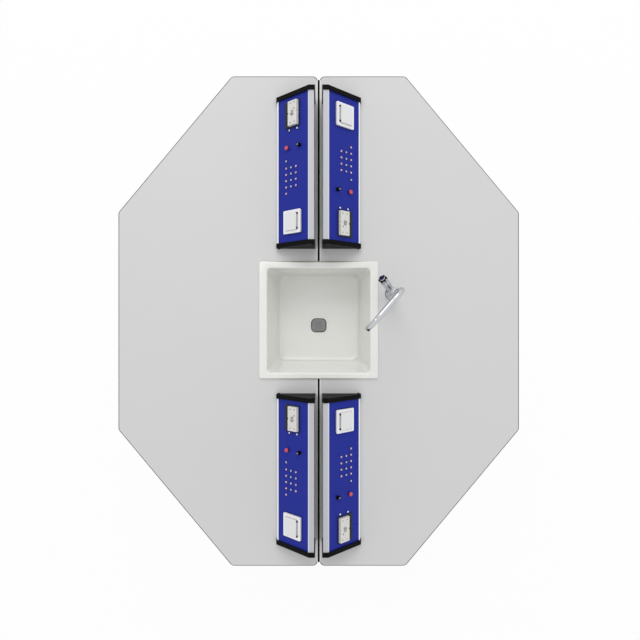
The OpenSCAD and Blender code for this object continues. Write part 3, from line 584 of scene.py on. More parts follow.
class Sweep:
    """A round tube in the making, led on from its last ring."""

    def __init__(self, radius: float, start: Sequence[float], segments: int = 40) -> None:
        """Draws the first ring, level.

        Args:
            radius: The tube's outer radius.
            start: The ring's centre.
            segments: Sides of the tube.
        """
        self.bm = bmesh.new()
        place = Matrix.Translation(start)
        made = bmesh.ops.create_circle(self.bm, radius=radius, segments=segments, matrix=place)
        self.last = list({edge for vert in made["verts"] for edge in vert.link_edges})

    def straight(self, step: Sequence[float], cuts: int = 1) -> None:
        """Leads the tube straight on.

        Args:
            step: How far and which way.
            cuts: In how many pieces.
        """
        for _ in range(cuts):
            made = bmesh.ops.extrude_edge_only(self.bm, edges=self.last)["geom"]
            self.last = [e for e in made if isinstance(e, BMEdge) and len(e.link_faces) == 1]
            verts = [v for v in made if isinstance(v, BMVert)]
            bmesh.ops.translate(self.bm, verts=verts, vec=Vector(step) / cuts)

    def bend(self, centre: Sequence[float], degrees: float, steps: int) -> None:
        """Leads the tube round a bend in the XZ plane.

        Args:
            centre: The bend's centre.
            degrees: How far it turns.
            steps: Rings of the bend.
        """
        made = bmesh.ops.spin(
            self.bm, geom=self.last, cent=centre, axis=(0, 1, 0), dvec=(0, 0, 0),
            angle=math.radians(degrees), steps=steps, use_merge=False, use_duplicate=False,
        )
        self.last = [e for e in made["geom_last"] if isinstance(e, BMEdge)]

    def taper(self, step: Sequence[float], share: float) -> None:
        """Leads the tube straight on to a new radius.

        Args:
            step: How far and which way.
            share: The new radius as a share of the old one.
        """
        self.straight(step)
        verts = ends(self.last)
        middle = sum((vert.co for vert in verts), Vector()) / len(verts)
        bmesh.ops.scale(self.bm, vec=(share, share, share), space=Matrix.Translation(-middle), verts=verts)

    def walled(self, wall: float) -> BMesh:
        """Gives the tube its wall and hands it over.

        Args:
            wall: The wall's thickness.

        Returns:
            The shape.
        """
        bmesh.ops.recalc_face_normals(self.bm, faces=self.bm.faces)
        bmesh.ops.solidify(self.bm, geom=self.bm.faces[:], thickness=wall)
        return self.bm


# Pieces


def modify(piece: Object, kind: str, **settings) -> None:
    """Adds a modifier to a piece.

    Args:
        piece: The piece.
        kind: Blender's type name of the modifier.
        settings: Its properties.
    """
    made = piece.modifiers.new(kind.lower(), kind)
    for name, value in settings.items():
        setattr(made, name, value)


class Piece:
    """A named piece of the table, gathered from one or more shapes."""

    def __init__(self, name: str, body: str, slot: str, frame: Matrix = HERE) -> None:
        """Starts an empty piece.

        Args:
            name: The piece's name.
            body: The body that it rides on.
            slot: The record's material slot that it belongs to; it is kept but not used.
            frame: Where its shapes are drawn, in metres.
        """
        self.name, self.body, self.slot = name, body, slot
        self.frame = frame @ Matrix.Scale(MM, 4)
        self.bm = bmesh.new()
        self.finishes: list[Finish] = []

    def add(self, shape: BMesh, finish: Finish, at: Matrix = HERE) -> Piece:
        """Takes a shape in.

        Args:
            shape: The shape, in millimetres, which is used up.
            finish: Its finish.
            at: Its place in the piece's frame, in millimetres.

        Returns:
            The piece itself.
        """
        if finish not in self.finishes:
            self.finishes.append(finish)
        bmesh.ops.transform(shape, matrix=self.frame @ at, verts=shape.verts)
        bmesh.ops.recalc_face_normals(shape, faces=shape.faces)
        for face in shape.faces:
            face.material_index = self.finishes.index(finish)
            face.smooth = True
        passed = bpy.data.meshes.new("passed_on")
        shape.to_mesh(passed)
        shape.free()
        self.bm.from_mesh(passed)
        bpy.data.meshes.remove(passed)
        return self

    def finish(self, *replaced: str, sharp: float = 35.0, levels: int = 0) -> None:
        """Makes the object, and hands it to its body.

        Args:
            replaced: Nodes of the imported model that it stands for.
            sharp: Angle in degrees past which an edge stays sharp.
            levels: Levels of subdivision.
        """
        mesh = bpy.data.meshes.new(self.name)
        self.bm.to_mesh(mesh)
        self.bm.free()
        for finish in self.finishes:
            mesh.materials.append(finish.material())
        mesh.set_sharp_from_angle(angle=math.radians(sharp))
        made = new_object(self.name, mesh)
        if levels:
            modify(made, "SUBSURF", levels=levels, render_levels=levels)
        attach(made, self.body)
        if replaced:
            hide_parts(*replaced)
        LOG.info("%s: %d faces on %s", self.name, len(mesh.polygons), self.body)


def dress(
    node: str,
    *finishes: Finish,
    edge: float = 0.0,
    steps: int = 2,
    edge_finish: int = -1,
    choose: Callable[[Vector, Vector], int] | None = None,
    clamp: bool = True,
) -> None:
    """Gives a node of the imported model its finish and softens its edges.

    Args:
        node: The node's name.
        finishes: Its finishes.
        edge: Radius of its edges, in millimetres, or 0 to leave them.
        steps: Faces across each edge.
        edge_finish: Number of the finish that the edges take, or -1 for their neighbours'.
        choose: Gives a face's finish by number, from the face's centre and normal, in metres.
        clamp: Whether short edges hold the edges' radius back.
    """
    piece = bpy.data.objects[node]
    piece.data.materials.clear()
    for finish in finishes:
        piece.data.materials.append(finish.material())
    for face in piece.data.polygons:
        face.material_index = choose(face.center, face.normal) if choose else 0
    if edge:
        modify(piece, "WELD", merge_threshold=WELD)
        flat = math.radians(FLAT)
        modify(piece, "DECIMATE", decimate_type="DISSOLVE", angle_limit=flat, delimit={"MATERIAL"})
        modify(
            piece, "BEVEL", width=edge * MM, segments=steps, limit_method="ANGLE",
            angle_limit=math.radians(BENT), harden_normals=True, use_clamp_overlap=clamp,
            material=edge_finish,
        )
    LOG.info("%s: dressed in %s", node, ", ".join(finish.name for finish in finishes))


class Corner(NamedTuple):
    """A corner of a node's box, in millimetres. A Vector would round it more."""

    x: float
    y: float
    z: float


def box(node: str) -> list[Corner]:
    """Gives the lowest and highest corners of a node's box."""
    return [Corner(*(value / MM for value in corner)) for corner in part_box(node)]


# Sub-assemblies


@dataclass
class Worktop:
    """The two laminate half tops, a black rubber strip in the seam between them as painted shade, and bright
    sealant beside it as a painted highlight.
    """

    chamfer: float = 3.9
    under_sink: float = 12.0
    shadow_gasket_w: float = 6.6
    shadow_gasket_h: float = 6.0
    shadow_gasket_sunk: float = 0.5
    shadow_gasket_ends: float = 14.0
    shadow_gasket_edge: float = 0.8
    seal_from: float = 3.9
    seal_w: float = 3.0
    seal_h: float = 3.4
    seal_proud: float = 0.3
    seal_edge: float = 0.3

    def build(self) -> None:
        """Dresses both halves, lays a black rubber strip in the seam beyond the sink as painted shade, and
        runs bright sealant along its sides as a painted highlight.
        """
        for node in ("worktop_left", "worktop_right"):
            dress(
                node, LAMINATE, CORE, edge=self.chamfer, steps=1, edge_finish=1, choose=self._edge,
                clamp=False,
            )
        top_low, top_high = box("worktop_right")
        sink_low, sink_high = box("sink")
        gasket = Piece("seam_painted_shadow", "table", "laminate")
        seal = Piece("seam_seal", "table", "laminate")
        z = top_high.z - self.shadow_gasket_sunk - self.shadow_gasket_h / 2
        up = top_high.z + self.seal_proud - self.seal_h / 2
        for near, far in (
            (sink_high.y - self.under_sink, top_high.y - self.shadow_gasket_ends),
            (top_low.y + self.shadow_gasket_ends, sink_low.y + self.under_sink),
        ):
            middle, run = (near + far) / 2, far - near
            # The black rubber strip darkens the seam as painted shade.
            gasket.add(block((self.shadow_gasket_w, run, self.shadow_gasket_h), (0, middle, z), self.shadow_gasket_edge), RUBBER)
            # The sealant beside the seam is painted bright as a highlight.
            for side in (-1, 1):
                at = (side * (self.seal_from + self.seal_w / 2), middle, up)
                seal.add(block((self.seal_w, run, self.seal_h), at, self.seal_edge), HIGHLIGHT_SEALANT)
        gasket.finish()
        seal.finish()

    @staticmethod
    def _edge(_centre: Vector, normal: Vector) -> int:
        """Tells the sawn edges from the faces."""
        return 0 if abs(normal.z) > 0.5 else 1


@dataclass
class Sink:
    """The stoneware sink, its bead of sealant and its strainer.

    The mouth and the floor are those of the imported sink: width, length, corner radius and the place
    of their middle along the seam. dish has the rings of the bowl's rounded floor: how much wider than
    the floor, how high above it, and how much rounder its corner.
    """

    mouth: tuple[float, float, float, float] = (385.0, 392.0, 14.0, 3.0)
    floor: tuple[float, float, float, float] = (334.0, 354.0, 28.0, 12.5)
    wall: float = 10.5
    fillet: float = 20.0
    dish: tuple[tuple[float, float, float], ...] = (
        (-4, 10, -1), (-13, 3, -4), (-34, 0.4, -8), (-60, 0.2, -8),
    )
    lip: float = 3.0
    rim_corner: float = 9.0
    rim_soft: float = 2.2
    well: tuple[float, float] = (90.0, 40.0)
    drain_w: float = 52.0
    drain_corner: float = 25.5
    drain_y: float = -18.0
    warp: float = 3.6
    cuts: int = 11
    bead_w: float = 2.0
    bead_h: float = 2.0
    plate_t: float = 3.0
    plate_corner: float = 18.0
    plate_edge: float = 0.5
    border: float = 3.0
    halo: float = 4.2
    wire: float = 1.1
    pitch: float = 2.5

    def build(self) -> None:
        """Builds the sink and what is on it."""
        low, high = box("sink")
        self.rim = (high.x - low.x, high.y - low.y, (high.y + low.y) / 2)
        self.rim_z, self.foot_z = high.z, low.z
        self.top_z = box("worktop_right")[1].z
        self.floor_z = box("sink_strainer")[1].z - self.plate_t
        self._body()
        self._bead()
        self._strainer()
        self._mesh()

    def _inside(self, z: float) -> Ring:
        """Gives the bowl's outline at a height, on the straight part of its wall."""
        share = (self.rim_z - z) / (self.rim_z - self.floor_z - self.fillet)
        return self._ring(z, *(a + (b - a) * share for a, b in zip(self.mouth, self.floor)))

    def _ring(self, z: float, width: float, length: float, corner: float, y: float) -> Ring:
        """Gives an outline of the sink with its sides cut evenly."""
        return Ring(width, z, length=length, corner=corner, y=y, steps=6, cuts=self.cuts)

    def _round(self, base: Sequence[float], grow: float, z: float, corner: float) -> Ring:
        """Gives one of the sink's outlines, grown all round by half of grow on each side."""
        return self._ring(z, base[0] + grow, base[1] + grow, corner, base[-1])

    def _body(self) -> None:
        """Lofts the sink from its foot, over the rim and down into the bowl."""
        rim, mouth, floor, soft, lip = self.rim, self.mouth, self.floor, self.rim_soft, self.lip
        foot, under, top, base = self.foot_z, self.top_z, self.rim_z, self.floor_z
        drain = (self.drain_w, self.drain_w, self.drain_y)
        corner, round_drain, out = self.rim_corner, self.drain_corner, 2 * self.wall
        wide, wide_corner = self.well
        outside = (
            (drain, 0, foot, round_drain), (floor, 0, foot, floor[2]), (floor, out - 3, foot + 3, floor[2]),
            (floor, out, foot + 16, floor[2]), (mouth, out - 1, under - 6, floor[2]),
            (mouth, out, under, floor[2]), (rim, -3, under, corner), (rim, 0, under + 1.2, corner),
            (rim, 0, top - soft, corner), (rim, -soft * 0.6, top - soft * 0.3, corner),
            (rim, -2 * soft, top, corner), (mouth, 3 * lip, top, mouth[2] + lip),
            (mouth, lip, top - 0.8, mouth[2] + 1),
        )
        down = (top - 1.4 * lip, top - 12, base + 90, base + 1.5 * self.fillet, base + self.fillet)
        bottom = (
            *((floor, grow, base + up, floor[2] + more) for grow, up, more in self.dish),
            ((wide, wide, self.drain_y), 0, base, wide_corner), (drain, 3, base, round_drain),
            (drain, 0, base - 2, round_drain),
        )
        levels = [self._round(*level) for level in outside]
        levels += [self._inside(z) for z in down]
        levels += [self._round(*level) for level in bottom]
        shape = lofted(levels)
        half_w, half_l = rim[0] / 2, rim[1] / 2
        for vert in shape.verts:
            north = max(0.0, (vert.co.y - rim[2]) / half_l)
            if vert.co.z > under - 1:
                vert.co.y -= self.warp * max(0.0, 1 - (vert.co.x / half_w) ** 2) * north ** 4
        sink = Piece("sink_glazed", "table", "stoneware")
        sink.add(shape, GLAZE).finish("sink", sharp=80.0, levels=2)

    def _bead(self) -> None:
        """Runs a bead of sealant round the rim's foot."""
        wide, high = self.bead_w, self.bead_h
        levels = [
            self._round(self.rim, grow, self.top_z + up, self.rim_corner + more)
            for grow, up, more in (
                (-4, -0.4, 0), (wide, -0.4, 2), (wide, 0.2, 2), (wide * 0.5, high * 0.5, 1),
                (-0.6, high, 0), (-4, 1, 0),
            )
        ]
        Piece("sink_bead", "table", "stoneware").add(lofted(levels), SILICONE).finish(sharp=80.0)

    def _strainer(self) -> None:
        """Dresses the strainer, with a rubber border on it and a bead of sealant round it that is painted
        pale as a highlight.
        """
        dress("sink_strainer", STRAINER, edge=self.plate_edge)
        low, high = box("sink_strainer")
        self.plate = (high.x - low.x, high.y - low.y)
        z, top = self.floor_z, self.floor_z + self.plate_t
        inner, outer = -2 * self.border, 2 * self.halo
        border = (
            (inner, top - 0.2), (inner, top + 0.5), (0, top + 0.6), (1.6, top - 0.4), (1.6, z), (0.4, z),
        )
        bead = ((1.2, z - 0.2), (1.2, z + 1.6), (2.6, z + 1.4), (outer, z + 0.2), (outer, z - 0.2))
        # The bead round the strainer takes the bright sealant as a painted highlight.
        for name, finish, profile in (
            ("strainer_gasket", RUBBER, border), ("strainer_bead", HIGHLIGHT_SEALANT, bead),
        ):
            levels = [self._plate_ring(grow, up) for grow, up in profile]
            Piece(name, "table", "strainer_steel").add(lofted(levels), finish).finish()

    def _plate_ring(self, grow: float, z: float) -> Ring:
        """Gives the strainer plate's outline at a height, grown by half of grow on each side."""
        width, length = (size + grow for size in self.plate)
        return Ring(width, z, length=length, corner=self.plate_corner + grow / 2, y=self.drain_y)

    def _mesh(self) -> None:
        """Lays a fine cloth of steel wire on the strainer's plate, two layers crossing."""
        cloth = Piece("strainer_cloth", "table", "strainer_steel")
        wire, y = self.wire, self.drain_y
        z = self.floor_z + self.plate_t + wire / 2
        half_w, half_l = (size / 2 - self.border + 0.6 for size in self.plate)
        reach = self.plate_corner - self.border
        for along_y, half, end in ((True, half_w, half_l), (False, half_l, half_w)):
            count = int(half / self.pitch)
            for index in range(-count, count + 1):
                off = index * self.pitch
                inside = max(0.0, abs(off) - (half - reach))
                run = 2 * (end - reach + math.sqrt(reach ** 2 - inside ** 2))
                if along_y:
                    size, at = (wire, run, wire), (off, y, z)
                else:
                    size, at = (run, wire, wire), (0, y + off, z + wire * 0.8)
                cloth.add(block(size, at, wire * 0.3, steps=1), STRAINER)
        cloth.finish()


@dataclass
class Tap:
    """The chromed pillar tap: its column and valve, its swan neck, its grip and its supply.

    plug_at has the plug's angles along the bend and round the tube, in degrees. screws has each
    screw's angle round the valve, in degrees, and its place along it. Plug, screw, spindle and the two
    seals have their sizes as stud() and washer() take them.
    """

    joints: dict[str, dict]
    spout_dir: float = 229.0
    bend_r: float = 40.0
    bend_z: float = 229.0
    bend_steps: int = 28
    reach: float = 169.0
    narrowing: float = 2.0
    nozzle_z: float = 219.0
    tube_r: float = 10.0
    tip_r: float = 9.0
    tube_wall: float = 1.5
    column_h: float = 98.0
    seat: float = 19.7
    ring_r: float = 13.0
    flange_seal: tuple[float, float, float, float] = (12.0, 24.9, 1.2, 0.3)
    gland_seal: tuple[float, float, float, float] = (4.2, 8.0, 0.9, 0.2)
    gland_sunk: float = 0.2
    bonnet_r: float = 14.0
    plug_at: tuple[float, float] = (66.0, 28.0)
    plug: tuple[float, float, float] = (4.4, 2.4, 0.5)
    screws: tuple[tuple[float, float], ...] = ((90.0, 74.0), (180.0, 52.0))
    screw: tuple[float, float, float] = (2.4, 1.2, 0.3)
    valve_l: float = 81.0
    spindle: tuple[float, float, float] = (3.97, 16.0, 0.4)
    spindle_in: float = 14.0
    skirt_r: float = 13.0
    grip_r: float = 16.5
    grip_foot: float = 6.0
    grip_top: float = 14.0
    cap_r: float = 10.5
    cap_top: float = 18.4
    lobes: int = 6
    lobe_depth: float = 4.6

    def build(self) -> None:
        """Finds the frames of the column and of the valve's spindle, and builds the tap in them."""
        swivel, valve = (self.joints[name] for name in ("spout_swivel", "valve_turn"))
        x, y, _z = swivel["pos_m"]
        self.frame = Matrix.Translation((x, y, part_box("worktop_right")[1].z))
        spindle = Vector(valve["axis"])
        across = Vector((0, 0, 1)).cross(spindle).normalized()
        self.valve = Matrix.Translation(valve["pos_m"]) @ axes(across, spindle)
        dress("tap_pillar", CHROME, edge=0.9, steps=3)
        dress("tap_supply", COPPER)
        self._spout()
        self._grip()
        self._seals()

    def _spout(self) -> None:
        """Sweeps the swan neck, with its foot ring, its outlet ring and the outlet's sieve and plug."""
        foot, neck, tip, tight, wide = (
            self.column_h - self.seat, self.narrowing, self.tip_r, self.tube_r, self.ring_r
        )
        tube = Sweep(tight, (0, 0, foot))
        tube.straight((0, 0, self.bend_z - foot), 4)
        tube.bend((self.bend_r, 0, self.bend_z), 90, self.bend_steps)
        tube.straight((self.reach - 2 * self.bend_r - neck, 0, 0), 3)
        tube.taper((neck, 0, 0), tip / tight)
        axle = (self.reach - self.bend_r, 0, self.bend_z)
        tube.bend(axle, 90, self.bend_steps)
        tube.straight((0, 0, self.nozzle_z - self.bend_z))
        spout = Piece("tap_swan_neck", "spout", "chrome_plate", self.frame @ turn(self.spout_dir, "Z"))
        spout.add(tube.walled(self.tube_wall), CHROME)
        base = self.column_h + 0.3
        collar = [
            (tight, base), (wide - 0.6, base), (wide, base + 0.6), (wide, base + 6.0),
            (wide - 0.8, base + 8.4), (wide - 2.1, base + 9.8), (tight, base + 10.0), (tight, base),
        ]
        spout.add(turned(collar, 48), CHROME)
        outlet = Matrix.Translation((self.reach, 0, self.nozzle_z))
        mouth = [
            (tip - 0.1, 0.4), (tip + 0.3, 0), (tip + 0.7, 0.5), (tip + 0.7, 5.4), (tip - 0.1, 6.0),
            (tip - 0.1, 0.4),
        ]
        spout.add(turned(mouth, 48), CHROME, outlet)
        sieve = tip - self.tube_wall + 0.1
        spout.add(turned([(0, 1.0), (sieve, 1.0), (sieve, 4.0), (0, 4.0)], 32), RUBBER, outlet)
        along, round_it = (math.radians(angle) for angle in self.plug_at)
        spoke = Vector((math.sin(along), 0, math.cos(along)))
        out = spoke * math.cos(round_it) + Vector((0, math.sin(round_it), 0))
        middle = Vector(axle) + spoke * self.bend_r + out * (tip - self.plug[1] / 2)
        at = Matrix.Translation(middle) @ out.to_track_quat("Z", "Y").to_matrix().to_4x4()
        spout.add(stud(self.plug, 0, 32), RUBBER, at)
        spout.finish("tap_spout")

    def _grip(self) -> None:
        """Builds the valve's lobed grip on its chrome skirt, the chrome ring and the marker disc."""
        base = self.valve_l + 1
        grip = Piece("tap_grip", "valve_handle", "valve_plastic", self.valve)
        wide, foot, top = self.skirt_r, base + self.grip_foot, base + self.grip_top
        cap, head = self.cap_r, base + self.cap_top
        disc = cap - 0.9
        skirt = [
            (0, base), (wide - 0.6, base), (wide, base + 0.6), (wide, foot + 0.4), (wide - 1, foot + 1),
            (0, foot + 1),
        ]
        bezel = [
            (0, top - 1), (cap, top - 1), (cap, head - 1.2), (cap - 0.4, head - 0.5),
            (cap - 1.2, head - 0.3), (0, head - 0.3),
        ]
        face = [(0, head - 1), (disc, head - 1), (disc, head - 0.4), (disc - 0.8, head - 0.1), (0, head)]
        rings = [
            Ring(2 * self.grip_r + grow, z, lobes=self.lobes, lobe_depth=self.lobe_depth * share, steps=12)
            for grow, z, share in (
                (-1.6, foot, 1.0), (0, foot + 1.4, 1.0), (0, top - 1.6, 1.0), (-1.2, top - 0.5, 1.0),
                (-5, top, 0.5),
            )
        ]
        grip.add(turned(skirt, 48), CHROME)
        grip.add(lofted(rings, closed=False), GRIP)
        grip.add(turned(bezel, 48), CHROME)
        grip.add(turned(face, 48), MARKER)
        grip.add(stud(self.spindle, self.valve_l - self.spindle_in), ZINC)
        grip.finish("tap_handle")

    def _seals(self) -> None:
        """Adds the rings under the flange and at the valve's bonnet, and the bonnet's black screws."""
        seals = Piece("tap_seals", "table", "chrome_plate", self.frame)
        seals.add(washer(self.flange_seal, 0, 48), RUBBER).finish()
        packing = Piece("tap_gland_ring", "table", "chrome_plate", self.valve)
        packing.add(washer(self.gland_seal, self.valve_l - self.gland_sunk, 32), RUBBER).finish()
        screws = Piece("tap_bonnet_screws", "table", "chrome_plate", self.valve)
        for angle, up in self.screws:
            spot = Matrix.Translation((self.bonnet_r - self.screw[1] / 2, 0, up)) @ turn(90, "Y")
            screws.add(stud(self.screw, 0), RUBBER, turn(angle, "Z") @ spot)
        screws.finish()


class Jack(Enum):
    """What a small fitting on the panel is, and the finish of its collar."""

    LIVE = COLLAR_RED
    RETURN = COLLAR_NAVY
    LAMP = OPAL


@dataclass
class Console:
    """One sloping power console, drawn in its slope's frame.

    X runs down the slope, Y along the console and Z out of the panel. All sizes are in millimetres.
    Screws, caps and shafts have theirs as stud() takes them, and pins and seals as washer() does. jack_rows
    has each column's place and its number of jacks.
    """

    name: str
    joints: dict[str, dict]
    knob_at: tuple[float, float, float] = (47.5, -79.5, -2.0)
    panel_z: float = -2.0
    lid_at: tuple[float, float, float] = (52.0, 191.0, 8.5)
    barrel_r: float = 2.3
    lugs: tuple[float, float] = (23.3, 29.7)
    lug_reach: float = 2.6
    plate_top: float = 6.05
    cup_at: tuple[float, float] = (80.5, 191.0)
    plate_w: float = 84.0
    shadow_gasket_w: float = 1.5
    shadow_gasket_h: float = 1.4
    shadow_gasket_corner: float = 4.0
    lid_seal: tuple[float, float, float, float] = (20.5, 22.0, 0.3, 0.1)
    cup_floor: float = -9.0
    cup_screw: tuple[float, float, float] = (2.6, 1.6, 0.4)
    clip: tuple[float, float, float] = (1.2, 4.6, 12.0)
    clip_off: float = 18.6
    clip_up: float = 7.4
    pin: tuple[float, float, float, float] = (1.9, 2.45, 5.0, 0.15)
    pin_off: float = 9.5
    pin_down: float = 6.0
    breaker_at: tuple[float, float] = (73.0, -198.5)
    breaker_size: tuple[float, float] = (43.0, 87.0)
    breaker_top: float = 12.0
    terminal: tuple[float, float, float] = (2.8, 1.8, 0.3)
    terminal_slot_shade: tuple[float, float, float] = (4.4, 0.8, 0.3)
    terminal_in: float = 9.0
    terminal_sunk: float = 3.2
    test_key: tuple[float, float, float] = (4.0, 4.0, 1.0)
    test_key_off: float = 13.0
    button_at: tuple[float, float] = (108.0, -80.0)
    button_r: float = 8.0
    button_foot: float = 2.8
    button_h: float = 5.0
    stem_r: float = 5.0
    stem_foot: float = -24.0
    knob_r: float = 7.0
    knob_foot: float = -0.2
    knob_h: float = 11.0
    knob_cap: tuple[float, float, float] = (2.8, 0.95, 0.35)
    knob_shaft: tuple[float, float, float] = (3.0, 18.8, 0.4)
    shaft_foot: float = -18.0
    pointer: tuple[float, float, float] = (2.0, 0.9, 0.35)
    pointer_in: float = 1.6
    flutes: int = 16
    jack_rows: tuple[tuple[float, int], ...] = ((65.5, 4), (90.0, 4), (114.5, 5))
    jack_y: float = 27.0
    jack_pitch: float = 23.0
    lone_y: float = -34.0
    lamp_at: tuple[tuple[float, float], ...] = ((60.0, -143.5), (99.0, -143.5))
    lens_r: float = 3.6
    collar_r: float = 5.5
    collar_h: float = 1.6
    contact_r: float = 3.4
    bore_r: float = 2.0

    def build(self) -> None:
        """Finds the slope's frame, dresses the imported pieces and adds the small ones."""
        knob = self.joints[f"knob_{self.name}_turn"]
        slope = axes(-Vector(self.joints[f"lid_{self.name}_hinge"]["axis"]), Vector(knob["axis"]))
        origin = Vector(knob["pos_m"]) - slope @ (Vector(self.knob_at) * MM)
        self.frame = Matrix.Translation(origin) @ slope
        self.inside = self.frame.inverted()
        # The lips' outward faces take lighter copies of the anodised finish as painted highlights.
        dress(self.node("housing"), ALUMINIUM, LIP, UPPER_LIP, edge=0.5, choose=self._lip)
        dress(self.node("panel"), BLUE_COAT)
        dress(self.node("socket"), POLYCARBONATE, NYLON, edge=0.9, steps=3, choose=self._lug)
        # The lid's barrel and sides take lever grey as painted shade.
        dress(self.node("lid"), LID_WHITE, LEVER_GREY, edge=0.8, steps=3, choose=self._barrel_and_sides_shade)
        dress(self.node("breaker"), POLYAMIDE, CHARCOAL, edge=0.6, choose=self._bezel)
        dress(self.node("lever"), LEVER_GREY, edge=0.6)
        self._socket_trim()
        self._breaker_trim()
        self._knob()
        self._button()

    def node(self, part: str) -> str:
        """Names one of the console's nodes or pieces."""
        return f"console_{self.name}_{part}"

    def piece(self, part: str, slot: str, body: str = "table") -> Piece:
        """Starts a piece in the slope's frame."""
        return Piece(self.node(part), body, slot, self.frame)

    def local(self, point: Vector) -> Vector:
        """Turns a point in metres into the slope's frame, in millimetres."""
        return (self.inside @ point) / MM

    def direction(self, normal: Vector) -> Vector:
        """Turns a direction into the slope's frame."""
        return self.inside.to_3x3() @ normal

    def _lug(self, centre: Vector, _normal: Vector) -> int:
        """Tells the lid's two black ears from the plate.

        Args:
            centre: The face's centre, in metres.
            _normal: Its normal, which isn't needed here.

        Returns:
            1 for an ear, and 0 for the plate.
        """
        x, y, z = self.local(centre)
        off, (near, far) = abs(y - self.lid_at[1]), self.lugs
        return int(near < off < far and abs(x - self.lid_at[0]) < self.lug_reach and z > self.plate_top)

    def _barrel_and_sides_shade(self, centre: Vector, normal: Vector) -> int:
        """Tells the lid's barrel and its two sides, which take lever grey as painted shade, from its top."""
        barrel = self.local(centre).x < self.lid_at[0] + self.barrel_r
        return int(barrel or abs(self.direction(normal).y) > 0.7)

    def _lip(self, centre: Vector, normal: Vector) -> int:
        """Tells the lips below and above the panel, which take painted highlights, from the rest of the
        housing.
        """
        lip = 1 if self.local(centre).x > self.knob_at[0] else 2
        return 0 if self.direction(normal).z < 0.95 else lip

    def _bezel(self, centre: Vector, _normal: Vector) -> int:
        """Tells the charcoal frame from the breaker inside it."""
        off = zip(self.local(centre), self.breaker_at, self.breaker_size)
        return int(any(abs(at - middle) > size / 2 + 0.1 for at, middle, size in off))

    def _socket_trim(self) -> None:
        """Adds the contacts and the screw in the socket's cup, a black rubber ring round the plate as painted
        shadow, and the lid's seal.
        """
        x, y = self.cup_at
        trim = self.piece("contacts", "socket_plastic")
        for side in (-1, 1):
            spot = (x + side * self.clip_off, y, self.cup_floor + self.clip_up)
            trim.add(block(self.clip, spot, 0.4), BRASS)
            at = Matrix.Translation((x, y + side * self.pin_off, 0))
            trim.add(washer(self.pin, self.cup_floor - self.pin_down), BRASS, at)
        at = Matrix.Translation((x, y, 0))
        trim.add(stud(self.cup_screw, self.cup_floor - 0.6), ZINC, at).finish()
        # The black ring round the plate stands for its contact shadow on the panel, as painted shadow.
        gasket = self.piece("socket_painted_shadow", "socket_plastic")
        under, wide = self.plate_w - 3, self.plate_w + 2 * self.shadow_gasket_w
        foot, top = self.panel_z, self.panel_z + self.shadow_gasket_h
        levels = [
            Ring(width, z, x=x, y=y, corner=self.shadow_gasket_corner, steps=4)
            for width, z in ((under, foot), (wide, foot), (wide, top - 0.4), (wide - 0.8, top), (under, top))
        ]
        gasket.add(lofted(levels), RUBBER).finish()
        seal = self.piece("lid_seal", "lid_plastic", f"lid_{self.name}")
        seal.add(washer(self.lid_seal, self.plate_top, 48), RUBBER, at).finish()

    def _breaker_trim(self) -> None:
        """Adds the breaker's terminal screws, black bars on their heads as painted shade of the slots, and
        its test button.
        """
        x, y = self.breaker_at
        width, length = self.breaker_size
        trim = self.piece("terminals", "breaker_plastic")
        sunk = self.breaker_top - self.terminal_sunk
        for side in (-1, 1):
            for end in (-1, 1):
                spot = (x + side * width / 4, y + end * (length / 2 - self.terminal_in))
                trim.add(stud(self.terminal, sunk - 1.6), ZINC, Matrix.Translation((*spot, 0)))
                # The black bar on each screw head is painted shade of its slot.
                trim.add(block(self.terminal_slot_shade, (*spot, sunk + 0.2), 0.05), NYLON)
        spot = (x - width / 4, y - self.test_key_off, self.breaker_top + 0.2)
        trim.add(block(self.test_key, spot, 0.4), CHARCOAL).finish()

    def _knob(self) -> None:
        """Turns the fluted knob, with its light cap and its pointer."""
        foot, top, wide = self.knob_foot, self.knob_foot + self.knob_h, 2 * self.knob_r
        knob = self.piece("fluted_knob", "knob_plastic", f"knob_{self.name}")
        at = Matrix.Translation((*self.knob_at[:2], 0))
        rings = [
            Ring(width, z, lobes=self.flutes, lobe_depth=deep, steps=16)
            for width, z, deep in (
                (wide - 1.0, foot, 0.2), (wide, foot + 0.6, 0.7), (wide - 0.6, top - 1.2, 0.7),
                (wide - 1.6, top - 0.2, 0.7), (wide - 3.4, top, 0.0),
            )
        ]
        knob.add(lofted(rings, closed=False), NYLON, at)
        knob.add(stud(self.knob_shaft, self.shaft_foot), ZINC, at)
        knob.add(stud(self.knob_cap, top - 0.5, 32), LEVER_GREY, at)
        knob.add(block(self.pointer, (self.knob_r - self.pointer_in, 0, top - 0.02), 0.1), LEVER_GREY, at)
        knob.finish(self.node("knob"))

    def _button(self) -> None:
        """Turns the red push button."""
        foot, top, wide = self.button_foot, self.button_foot + self.button_h, self.button_r
        button = self.piece("push", "button_plastic", f"button_{self.name}")
        profile = [
            (0, self.stem_foot), (self.stem_r, self.stem_foot), (self.stem_r, foot), (wide - 0.5, foot),
            (wide, foot + 0.5), (wide, top - 1.8), (wide - 0.5, top - 0.7), (wide - 1.7, top - 0.1),
            (wide - 2.6, top), (wide - 3.4, top - 0.35), (0, top - 0.6),
        ]
        button.add(turned(profile, 48), RED, Matrix.Translation((*self.button_at, 0)))
        button.finish(self.node("button"))

    def _fittings(self) -> list[tuple[float, float, Jack]]:
        """Lists the jacks and lamps on the panel.

        Returns:
            The place on the slope, and what stands there.
        """
        found = []
        for column, (s, rows) in enumerate(self.jack_rows):
            kind = Jack.RETURN if column == 1 else Jack.LIVE
            found += [(s, self.jack_y + (row - 1.5) * self.jack_pitch, kind) for row in range(rows)]
        found.append((self.jack_rows[-1][0], self.lone_y, Jack.RETURN))
        return found + [(s, y, Jack.LAMP) for s, y in self.lamp_at]

